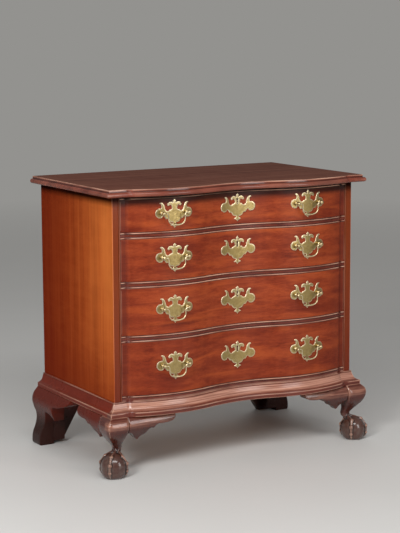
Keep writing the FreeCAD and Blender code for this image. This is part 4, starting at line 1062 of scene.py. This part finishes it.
def rear_side_shells():
    """Ogee side bracket of the right rear foot, sawn to its scrolled outline."""
    pad = [(0, 0), (57, 0), (58.2, 1)]
    waist = [(58.6, 3), (59.4, 20), (60.6, 44), (63.4, 68), (69, 92), (76, 106), (82, 111), (92, 112.6),
             (106, 110), (120, 102.5), (130, 95.4), (134, 93.6)]
    wing = [(134.8, 95), (135.2, 106), (136.6, 120), (141, 132.6), (149, 139), (160, 141.8), (174, 143.2),
            (192, 147.4), (208, 153), (222, 157.4), (231, 161), (235, 165.4), (236, 171), (236, 176.6)]
    lower = np.concatenate([np.array(pad[:-1], float), smooth_path(pad[1:] + waist[:1], 4)[:-1],
                            smooth_path(waist, 60), smooth_path(wing, 56)])
    outline = spaced(np.concatenate([lower, [(0, 176.6)]]), 2.6)
    knots = (-1, 5, 14, 36, 55, 81, 97, 113, 139, 161, 178)
    bulge = (44.5, 46.6, 47, 43.6, 36, 31, 32.4, 38.4, 45, 39, 25)

    def put(points, depth):
        face = smooth(points[:, 1], knots, bulge)
        out = face - depth / REAR_DEPTH * (face + 1)
        return np.column_stack([HALF_CASE + out, Y_BACK - points[:, 0], points[:, 1]])

    return sawn(outline, put, REAR_DEPTH, 1.8, 6.0, back_edge=0.8)


def rear_back_shells():
    """Plain bracket across the back of the rear foot, and the glue block behind it."""
    lower = np.concatenate([[(0, 0), (47, 0)], smooth_path([(48, 1), (51, 6), (58, 15)], 6),
                            smooth_path([(59, 16.6), (108, 98), (158, 177)], 6)])
    outline = spaced(np.concatenate([lower, [(0, FOOT_HEIGHT)]]), 6.0)

    def put(points, depth):
        return facing(points * (-1, 1) + (HALF_CASE, 0), Y_BACK - depth)

    inner = Y_BACK - REAR_BRACKET
    glue = block((HALF_CASE - GLUE_BLOCK, inner - GLUE_BLOCK, 12), (HALF_CASE, inner, FOOT_HEIGHT))
    return sawn(outline, put, REAR_BRACKET, 0.8, 14.0, back_edge=0.8) + [glue]


# ---- Drawer fronts ------------------------------------------------------------------------------
def front_blank(low, high, ease):
    """The front's block: curved face with eased edges, flat inside and at its ends."""
    half = HALF_OPENING - FRONT_GAP
    turn = arc((-ease, low + ease), ease, -90, 0, 5)
    over = arc((-ease, high - ease), ease, 0, 90, 5)
    profile = np.concatenate([turn, [(0, low + 4), (0, low + 8), (0, high - 8), (0, high - 4)], over])
    rows = along_front(profile, half - ease, blocked=True, fine=30)
    rows = flat_back(rows, [(INNER_Y, high), (INNER_Y, low)])
    fronts = len(profile)
    ends = []
    for a in np.radians((30, 60, 90)):
        row = rows[-1].copy()
        row[:, 0] = half - ease + ease * math.sin(a)
        row[:fronts, 1] = np.maximum(row[:fronts, 1], Y_FRONT + ease * (1 - math.cos(a)))
        ends.append(row)
    ends = np.stack(ends)
    left = ends[::-1] * (-1, 1, 1)
    return surface(np.concatenate([left, rows, ends]), wrap_columns=True, caps=True)


def tail_cutters(low, high):
    """Flared sockets for the side's tails, at the right end of a front."""
    side_low, side_high = low - SIDE_BELOW, high - SIDE_SHORT
    count = max(2, round((side_high - side_low) / TAIL_PITCH))
    pitch = (side_high - side_low) / count
    root, made = pitch * 0.3, []
    mouth, end = INNER_Y + 1, INNER_Y - DRAWER_WALL
    for index in range(count):
        z = side_low + (index + 0.5) * pitch
        outline = np.array([(mouth, z - root + 0.17), (end, z - root - TAIL_FLARE),
                            (end, z + root + TAIL_FLARE), (mouth, z + root - 0.17)])
        made.append(prism(outline, sideways, HALF_OPENING - FRONT_GAP - DRAWER_WALL, HALF_OPENING + 4))
    return made


def keyhole_outline(z):
    """Round head and narrow slot of a keyhole, anticlockwise."""
    head = arc((0, z), KEYHOLE_RADIUS, -52, 232, 15)
    low = z - KEYHOLE_LENGTH
    return np.concatenate([head, [(-KEYHOLE_SLOT, low), (KEYHOLE_SLOT, low)]])


def drawer_front_shells(low, high, ease):
    """A front with its sockets, groove, keyhole, shank holes and lock recess cut."""
    low, high = low + FRONT_GAP, high - FRONT_GAP
    post = (low + high) / 2 + POST_RISE
    key = post + KEYHOLE_RISE
    groove_low = low - SIDE_BELOW + GROOVE_RISE
    groove = block((-GROOVE_HALF, INNER_Y - GROOVE_DEPTH, groove_low),
                   (GROOVE_HALF, INNER_Y + 2, groove_low + GROOVE_WIDTH))
    lock_low, lock_back, wide = key - LOCK_BELOW_KEY, INNER_Y - LOCK_DEPTH, LOCK_HALF + LOCK_PLATE_LAP
    case = block((-LOCK_HALF, lock_back, lock_low), (LOCK_HALF, INNER_Y + 2, high + 2))
    plate = block((-wide, INNER_Y - LOCK_PLATE, lock_low - LOCK_PLATE_LAP), (wide, INNER_Y + 3, high + 3))
    strip = block((-wide, lock_back - 2, high - LOCK_PLATE), (wide, INNER_Y + 4, high + 4))
    hole = prism(keyhole_outline(key), facing, Y_CREST - 5, lock_back + 1)
    shanks = [block((x - SHANK_HOLE, Y_CREST - 9, post - SHANK_HOLE),
                    (x + SHANK_HOLE, INNER_Y + 5, post + SHANK_HOLE)) for x in post_places()]
    return carved([front_blank(low, high, ease)],
                  [both(tail_cutters(low, high)), [groove], [case], [plate], [strip], [hole] + shanks])


def post_places():
    """X of the four posts of a drawer."""
    return (-PULL_X - POST_HALF, -PULL_X + POST_HALF, PULL_X - POST_HALF, PULL_X + POST_HALF)


# ---- Brasses ------------------------------------------------------------------------------------
def half_plate():
    """Right half of a plate's outline, from its upper finial to its lower one."""
    parts = [[(0, 40.5), (1.6, 38.4), (4.2, 36), (5.2, 33.6), (3.6, 31), (4.4, 29)],
             [(4.4, 29), (8, 31.8), (13.4, 32.4), (19, 30.4), (23, 25.2)],
             [(23, 25.2), (22.4, 22), (20, 20.4), (17.2, 21.4)],
             [(17.2, 21.4), (13.6, 23), (10.4, 21.4), (9.2, 17.4), (8.2, 12.6)],
             [(8.2, 12.6), (11.4, 10.2), (15.5, 9.4), (17.6, 7.4), (21.5, 5.2), (26.6, 7.2), (30, 13)],
             [(30, 13), (31.4, 19.6), (33.5, 24.6), (36.8, 28.8), (41, 30.8), (44.8, 30.6), (47, 28.4)],
             [(47, 28.4), (43.6, 26.8), (41.6, 24), (41.2, 19.6), (42, 13.7)]]
    lobe = arc((45.8, 0), 14.2, 104, -116, 26)
    low = [[(39.6, -12.8), (37.6, -8.8), (34.6, -8.6), (31.6, -11.4), (29.5, -14.5)],
           [(29.5, -14.5), (27, -17), (23.5, -16.4), (20.6, -18), (18.4, -21.6), (14.6, -25.6),
            (9, -27.8), (4.5, -27.6)],
           [(4.5, -27.6), (4.4, -29.4), (5.6, -31.4), (9.4, -33.4), (13.2, -36)],
           [(13.2, -36), (7.6, -37.6), (3.4, -40), (0, -44)]]
    upper, lower = [[smooth_path(part, 2 + 3 * len(part)) for part in half] for half in (parts, low)]
    lines = upper + [lobe] + lower
    return np.concatenate([line[:-1] for line in lines] + [[(0, -44)]])


def plate_outline():
    """The whole outline of a plate about its middle, anticlockwise."""
    right = half_plate()
    whole = np.concatenate([right, right[-2:0:-1] * (-1, 1)])[::-1]
    return spaced(whole, 1.1)


def bent_plate(centre, edge, holes=()):
    """A cast plate bent to the front, with its face edge filed round."""
    outline = plate_outline()

    def put(points, depth):
        x = points[:, 0] + centre
        return np.column_stack([x, front_y(x) - PLATE - 0.1 + depth, points[:, 1]])

    return sawn(outline, put, PLATE, edge, 3.0, holes=holes, flats=3)


def plate_set_shells(edge):
    """Left plate, escutcheon with its keyhole, and right plate, at the height zero."""
    hole = keyhole_outline(KEYHOLE_RISE)
    return bent_plate(-PULL_X, edge) + bent_plate(0, edge, [hole]) + bent_plate(PULL_X, edge)


def post_shells():
    """Four turned posts with bored heads and square shanks, at the height zero."""
    profile = smooth_path([(0.02, -4.7), (2.6, -4.45), (4.5, -3.5), (5.5, -1.8), (5.7, 0.2), (5.3, 2.3),
                           (4.2, 3.9), (3.4, 5.3), (3.5, 6.4), (4.7, 7.6), (6.3, 8.6), (6.8, 10.2)], 34)
    shells = []
    for x in post_places():
        seat = float(front_y(x)) - PLATE
        line = np.concatenate([profile + (0, PIVOT_Y), [(7.0, seat + 0.3)]])
        head = turned_shell(line, (x, 0), 36)
        side = math.copysign(1, x - math.copysign(PULL_X, x))
        bore = np.array([(x - side * reach, PIVOT_Y, 0, BORE_RADIUS) for reach in (1.0, 9.0)])
        shells += carved([head], [[swept_tube(bore, 20)]])
        shells.append(block((x - SHANK_HALF, seat - 2, -SHANK_HALF),
                            (x + SHANK_HALF, INNER_Y + 6.6, SHANK_HALF)))
    return shells


def nut_shells():
    """Square nuts on the shanks inside a drawer, with their corners filed off."""
    shells = []
    a = np.linspace(0, 2 * math.pi, 32, endpoint=False)
    for x in post_places():
        b = a + math.radians(12 * math.sin(x))
        rings = []
        for half, y, bow in ((4.6, INNER_Y, 7), (4.6, INNER_Y + 2.6, 7), (4.0, INNER_Y + 3.2, 5)):
            r = half / (np.abs(np.cos(a)) ** bow + np.abs(np.sin(a)) ** bow) ** (1 / bow)
            rings.append(facing(np.column_stack([x + r * np.cos(b), r * np.sin(b)]), y))
        shells.append(surface(np.stack(rings), wrap_columns=True, caps=True))
    return shells


def bail_shells(centre, thickness):
    """Drop handle: a tapered round bar from bore to bore, thicker in its middle."""
    right = [(40.0, 0, 1.5), (35.5, 0, 1.5), (31.6, -0.4, 1.6), (28.8, -2.4, 1.85), (27.4, -6.4, 2.0),
             (27.3, -11.6, 1.95), (27.4, -17, 1.95), (26.2, -22.6, 2.0), (22.6, -27.8, 2.15),
             (16.8, -31.4, 2.4), (9.6, -33.2, 2.75), (3.4, -33.8, 3.05)]
    line = np.array(right + [(-x, z, r) for x, z, r in reversed(right)])
    swell = line[:, 2] - PIN_RADIUS
    line[:, 2] = PIN_RADIUS + swell * (thickness - PIN_RADIUS) / swell.max()
    path = smooth_path(line, 110)
    rows = np.column_stack([centre + path[:, 0], np.full(len(path), PIVOT_Y), path[:, 1:]])
    return [swept_tube(rows, 18)]


# ---- Nails --------------------------------------------------------------------------------------
def nail_shells(head):
    """Rose-headed nails in the ends of the back boards."""
    profile = np.array([(0.6 * head, -0.5), (head, 0.05), (0.95 * head, 0.5), (0.5 * head, 1.3),
                        (0.05 * head, 1.7)]) + (0, Y_BACK)
    step = (Z_UNDER_TOP - Z_CASE) / BACK_BOARDS
    return [turned_shell(profile, (side * (HALF_OPENING + 5.5), Z_CASE + (board + share) * step), 10)
            for board in range(BACK_BOARDS) for share in (0.16, 0.5, 0.84) for side in (-1, 1)]


# ---- Settings -----------------------------------------------------------------------------------
def length(name, description, default):
    """A length that a user may change, in metres; the default is in millimetres."""
    return bpy.props.FloatProperty(name=name, description=description, default=default * MM,
                                   min=0.0001, precision=5, unit="LENGTH")


def tint(name, description, code):
    """A colour that a user may change."""
    return bpy.props.FloatVectorProperty(name=name, description=description, default=linear(code),
                                         subtype="COLOR", size=3, min=0, max=1)


def power(name, description, default):
    """A lamp's power in watts."""
    return bpy.props.FloatProperty(name=name, description=description, default=default, min=0,
                                   unit="POWER")


class ChestSizes(bpy.types.PropertyGroup):
    """Small sizes that the frame leaves open."""
    ball: length("Ball", "Radius of the ball that each claw holds", 38.0)
    bead: length("Cock bead", "Radius of the beads round the openings", 1.8)
    ease: length("Eased edge", "Rounding of a drawer front's edges", 1.3)
    plate_edge: length("Plate edge", "Filed rounding of a plate's edge", 0.75)
    bail: length("Bail", "Radius of a bail in its middle", 2.5)
    nail_head: length("Nail head", "Radius of a rose head in the back boards", 3.3)


class ChestFinishes(bpy.types.PropertyGroup):
    """Middle colour of each finish; its dark and light figure are worked out from it."""
    front: tint("Drawer fronts", "Varnished mahogany of the drawer fronts", "#853318")
    case: tint("Sides", "Varnished mahogany of the sides", "#a2461c")
    top: tint("Top", "Waxed mahogany of the top", "#623629")
    rail: tint("Rails and moulding", "Polished mahogany of the rails and the base moulding", "#5e2113")
    foot: tint("Feet", "Polished mahogany of the feet and brackets", "#42170e")
    pine: tint("Pine", "Oxidised pine of the drawers and back", "#b27b4a")
    brass: tint("Brass", "Plates, posts and bails", "#a9935f")
    iron: tint("Iron", "Locks, nuts and nails", "#5a5754")


class ChestStage(bpy.types.PropertyGroup):
    """Floor, lamps and background."""
    floor_colour: tint("Floor", "Colour of the floor", "#d3d2cf")
    background: tint("Background", "Colour behind the floor", "#93928f")
    overhead: power("Overhead lamp", "Power of the wide soft box above the front", 52.0)
    key: power("Key lamp", "Power of the soft box at the left", 100.0)
    fill: power("Fill lamp", "Power of the tall soft box at the right", 34.0)
    rear: power("Rear lamp", "Power of the soft box behind", 20.0)
    sky: bpy.props.FloatProperty(name="Sky", description="Strength of the even light from all round",
                                 default=0.17, min=0)


def pair(name, shells, finish, **how):
    """A piece of the case at the right, and its mirror image at the left."""
    for side, part in (("right", shells), ("left", mirrored(shells))):
        piece("%s_%s" % (name, side), part, finish, "case", ["%s_%s" % (name.lower(), side)], **how)


def rail(name, shells):
    """A rail of the case, with grime and painted shade in its quirks and painted shadow in the gap behind
    its beads.
    """
    piece(name, shells, "mahogany_rail", "case", [name.lower()], gaps=True)


class ChestOperator:
    """What every piece's operator shares."""
    bl_options = {"REGISTER", "UNDO"}


class CHEST_OT_top(ChestOperator, bpy.types.Operator):
    """Make the top board with its moulded edge"""
    bl_idname = "chest.top"
    bl_label = "Top board"

    def execute(self, context):
        piece("Top_board", top_shells(), "mahogany_top", "case", ["top_board"], sharp=50)
        return {"FINISHED"}


class CHEST_OT_case(ChestOperator, bpy.types.Operator):
    """Make the sides, rails and dividers"""
    bl_idname = "chest.case"
    bl_label = "Case"

    def execute(self, context):
        sizes = context.scene.chest_sizes
        radius = sizes.bead / MM
        pair("Side", side_shells(radius), "mahogany_case", gaps=True)
        for number, (_, high) in enumerate(OPENINGS[1:], 1):
            divider = rail_shells(high, high + RAIL_THICKNESS, (True, True), radius)
            rail("Divider_%d" % number, carved(divider, [[mortise(high)]]))
        z = Z_UNDER_TOP - TOP_RAIL_THICKNESS
        front = carved(rail_shells(z, Z_UNDER_TOP, (True, False), radius), [[mortise(z)]])
        back = block((-HALF_OPENING, Y_BOARDS - RAIL_DEPTH, z), (HALF_OPENING, Y_BOARDS, Z_UNDER_TOP))
        rail("Top_rails", front + [back])
        rail("Rail_bottom", rail_shells(Z_CASE + CASE_BOTTOM, Z_FIRST, (False, True), radius))
        piece("Back_board_nails", nail_shells(sizes.nail_head / MM), "iron", "case")
        return {"FINISHED"}


class CHEST_OT_base(ChestOperator, bpy.types.Operator):
    """Make the base moulding"""
    bl_idname = "chest.base"
    bl_label = "Base moulding"

    def execute(self, context):
        piece("Base_moulding_front", moulding_front_shells(), "mahogany_rail", "case",
              ["base_moulding_front"])
        pair("Base_moulding", moulding_side_shells(), "mahogany_rail")
        return {"FINISHED"}


class CHEST_OT_feet(ChestOperator, bpy.types.Operator):
    """Carve the ball-and-claw feet and saw the brackets"""
    bl_idname = "chest.feet"
    bl_label = "Feet"

    def execute(self, context):
        pair("Foot_front", foot_shells(context.scene.chest_sizes.ball / MM), "mahogany_foot", sharp=60)
        piece("Knee_brackets", knee_bracket_shells(), "mahogany_foot", "case", ["knee_brackets"],
              share=0.17)
        pair("Foot_rear", rear_side_shells() + rear_back_shells(), "mahogany_foot", share=0.07)
        return {"FINISHED"}


class CHEST_OT_fronts(ChestOperator, bpy.types.Operator):
    """Make the four drawer fronts"""
    bl_idname = "chest.fronts"
    bl_label = "Drawer fronts"

    def execute(self, context):
        ease = context.scene.chest_sizes.ease / MM
        for number, (low, high) in enumerate(OPENINGS, 1):
            piece("Drawer_%d_front" % number, drawer_front_shells(low, high, ease), "mahogany_front",
                  "drawer_%d" % number, ["drawer_%d_front" % number], gaps=True)
        return {"FINISHED"}


class CHEST_OT_brasses(ChestOperator, bpy.types.Operator):
    """Make the plates, posts and bails"""
    bl_idname = "chest.brasses"
    bl_label = "Brasses"

    def execute(self, context):
        sizes = context.scene.chest_sizes
        plates, posts, nuts = plate_set_shells(sizes.plate_edge / MM), post_shells(), nut_shells()
        for number, (low, high) in enumerate(OPENINGS, 1):
            z, body = (low + high) / 2 + POST_RISE, "drawer_%d" % number
            piece(body.capitalize() + "_plates", raised(plates, z), "brass", body, [body + "_plates"])
            piece(body.capitalize() + "_posts", raised(posts, z), "brass", body, [body + "_posts"])
            piece(body.capitalize() + "_nuts", raised(nuts, z), "iron", body)
            for side, centre in (("left", -PULL_X), ("right", PULL_X)):
                bail = raised(bail_shells(centre, sizes.bail / MM), z)
                name = "bail_%d_%s" % (number, side)
                piece(name.capitalize(), bail, "brass", name, ["%s_bail_%s" % (body, side)])
        return {"FINISHED"}


class CHEST_OT_finishes(ChestOperator, bpy.types.Operator):
    """Make every finish"""
    bl_idname = "chest.finishes"
    bl_label = "Finishes"

    def execute(self, context):
        colours = context.scene.chest_finishes
        # worn sets wear with a painted highlight on arrises and bead crests; dirt sets grime with painted
        # shade in quirks, gaps and between claws.
        mahogany(FINISHES["mahogany_front"], 0, colours.front, shaded_front,
                 shine=0.1, coat=0.1, rough=0.4, coat_rough=0.3)
        mahogany(FINISHES["mahogany_case"], 2, colours.case, side_tones_and_top_shadow,
                 shine=0.0, coat=0.04, rough=0.4, worn=0.6)
        mahogany(FINISHES["mahogany_top"], 0, colours.top, rubbed_top,
                 shine=0.0, coat=0.1, rough=0.42, worn=0.7, bends=2.5)
        mahogany(FINISHES["mahogany_rail"], 0, colours.rail, rail_shadow_and_sheen,
                 shine=0.1, coat=0.5, rough=0.3, coat_rough=0.2, dirt=0.95, worn=0.8, bends=1.35)
        mahogany(FINISHES["mahogany_foot"], 2, colours.foot, foot_wear_and_painted_light,
                 shine=0.12, coat=0.75, rough=0.28, coat_rough=0.12, dirt=0.95, worn=0.5, bends=7.0)
        pine(FINISHES["pine"], colours.pine)
        brass(FINISHES["brass"], colours.brass)
        iron(FINISHES["iron"], colours.iron)
        return {"FINISHED"}


class CHEST_OT_plain_nodes(ChestOperator, bpy.types.Operator):
    """Finish the CAD pieces that stay as they are"""
    bl_idname = "chest.plain_nodes"
    bl_label = "Pine and iron"

    def execute(self, context):
        slots = [("pine", ["back_boards", "case_bottom", "drawer_runners", "drawer_stops"])]
        for finish, parts in (("pine", ("sides", "back", "bottom")), ("iron", ("lock", "lock_bolt"))):
            slots.append((finish, ["drawer_%d_%s" % (number, part) for part in parts
                                   for number in range(1, len(OPENINGS) + 1)]))
        for finish, names in slots:
            for name in names:
                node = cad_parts[name]
                node.data.materials.clear()
                node.data.materials.append(bpy.data.materials[FINISHES[finish]])
        return {"FINISHED"}


class CHEST_OT_stage(ChestOperator, bpy.types.Operator):
    """Set the camera, the floor, the lamps and the background"""
    bl_idname = "chest.stage"
    bl_label = "Stage"

    def execute(self, context):
        scene = context.scene
        stage = scene.chest_stage
        scene.view_settings.view_transform = "Standard"
        place_camera(scene)
        make_floor(stage)
        make_lamps(stage)
        make_world(scene, stage)
        return {"FINISHED"}


CAMERA_PLACE = (-2.48999, -4.24170, 1.31486)
CAMERA_TURNS = (-30.362, 8.760, -0.267)
SENSOR = 36.0
LENS = 1602.37 / 533 * SENSOR   # the focal length is three times the longer side of the view


def place_camera(scene):
    """Camera 30 degrees to the left of the front and 9 above, rolled a quarter of a degree."""
    turn, rise, roll = np.radians(CAMERA_TURNS).tolist()
    back = Vector((math.sin(turn) * math.cos(rise), -math.cos(turn) * math.cos(rise), math.sin(rise)))
    right = (-back).cross(Vector((0, 0, 1))).normalized()
    up = right.cross(-back)
    rolled = right * math.cos(roll) + up * math.sin(roll)
    upward = up * math.cos(roll) - right * math.sin(roll)
    data = bpy.data.cameras.new("camera")
    data.sensor_width, data.lens = SENSOR, LENS
    data.clip_start, data.clip_end = 0.05, 200
    camera = bpy.data.objects.new("camera", data)
    camera.matrix_world = (Matrix.Translation(CAMERA_PLACE)
                           @ Matrix((rolled, upward, back)).transposed().to_4x4())
    scene.collection.objects.link(camera)
    scene.camera = camera


def make_floor(stage):
    """A pale round floor that fades into the background far from the chest."""
    a = np.linspace(0, 2 * math.pi, 96, endpoint=False)
    circle = np.column_stack([np.cos(a), np.sin(a)])
    rings = np.stack([level(radius / MM * circle, 0.0) for radius in (0.5, 3.0, 9.0, 60.0)])
    points, faces = surface(rings, wrap_columns=True)
    faces.append(list(range(len(a))))
    mesh = bpy.data.meshes.new("floor")
    mesh.from_pydata((points * MM).tolist(), [], faces)
    floor = bpy.data.objects.new("floor", mesh)
    bpy.context.scene.collection.objects.link(floor)
    tree, shader = new_material("floor, matt paper")
    sheet = shader.outputs[0].links[0].to_node
    colour = add(tree, "mix", figure(tree, (300, 300, 300), detail=2), stage.floor_colour,
                 shaded(stage.floor_colour, 0.96, 0.96, 0.96))
    put(tree, shader, {"Base Color": colour, "Roughness": 0.55})
    away = add(tree, "range", add(tree, "length", add(tree, "place")), 1.6, 7.0)
    glow = add(tree, "emission", stage.background, 1.0)
    put(tree, sheet, {"Surface": add(tree, "mix shader", away, shader.outputs[0], glow)})
    mesh.materials.append(bpy.data.materials["floor, matt paper"])


LAMP_AIM = Vector((0, 0, 0.45))


def make_lamps(stage):
    """Soft boxes above the front, at the left, a tall one at the right, and a weak one behind."""
    lamps = (("overhead", (-0.9, -2.2, 2.8), (2.6, 0.8), stage.overhead),
             ("key", (-3.1, -2.3, 2.1), (0.9, 1.2), stage.key),
             ("fill", (1.35, -3.4, 1.35), (1.2, 2.0), stage.fill),
             ("rear", (0.6, 2.8, 3.8), (2.4, 2.4), stage.rear))
    for name, spot, (wide, high), watts in lamps:
        data = bpy.data.lights.new(name, "AREA")
        data.shape, data.size, data.size_y, data.energy = "RECTANGLE", wide, high, watts
        lamp = bpy.data.objects.new(name, data)
        lamp.location = spot
        aim = LAMP_AIM - Vector(spot)
        lamp.rotation_euler = aim.to_track_quat("-Z", "Y").to_euler()
        bpy.context.scene.collection.objects.link(lamp)


def make_world(scene, stage):
    """Even light on the chest; the camera and reflections see the background's own colour."""
    world = bpy.data.worlds.new("studio")
    world.use_nodes = True
    tree = world.node_tree
    tree.nodes.clear()
    sky = add(tree, "background", (1, 1, 1), stage.sky)
    seen = add(tree, "background", stage.background, 1.0)
    camera, glossy, through = [add(tree, ray + " ray") for ray in ("camera", "glossy", "transmission")]
    shown = add(tree, "greater", camera, add(tree, "greater", glossy, through))
    add(tree, "world output", add(tree, "mix shader", shown, sky, seen))
    scene.world = world


STEPS = (CHEST_OT_finishes, CHEST_OT_plain_nodes, CHEST_OT_top, CHEST_OT_case, CHEST_OT_base,
         CHEST_OT_feet, CHEST_OT_fronts, CHEST_OT_brasses, CHEST_OT_stage)
GROUPS = {"chest_sizes": ChestSizes, "chest_finishes": ChestFinishes, "chest_stage": ChestStage}


class CHEST_PT_panel(bpy.types.Panel):
    """Buttons for each piece of the chest"""
    bl_idname = "CHEST_PT_panel"
    bl_label = "Oxbow chest"
    bl_space_type = "VIEW_3D"
    bl_region_type = "UI"
    bl_category = "Chest"

    def draw(self, context):
        for step in STEPS:
            self.layout.operator(step.bl_idname)
        for place, kind in GROUPS.items():
            box = self.layout.box()
            for name in kind.__annotations__:
                box.prop(getattr(context.scene, place), name)


CLASSES = (*GROUPS.values(), *STEPS, CHEST_PT_panel)


def register():
    for kind in CLASSES:
        bpy.utils.register_class(kind)
    for place, kind in GROUPS.items():
        setattr(bpy.types.Scene, place, bpy.props.PointerProperty(type=kind))


def unregister():
    for place in GROUPS:
        delattr(bpy.types.Scene, place)
    for kind in reversed(CLASSES):
        bpy.utils.unregister_class(kind)


def main():
    """Make everything."""
    register()
    for step in STEPS:
        group, name = step.bl_idname.split(".")
        getattr(getattr(bpy.ops, group), name)()


if __name__ == "__main__":
    main()
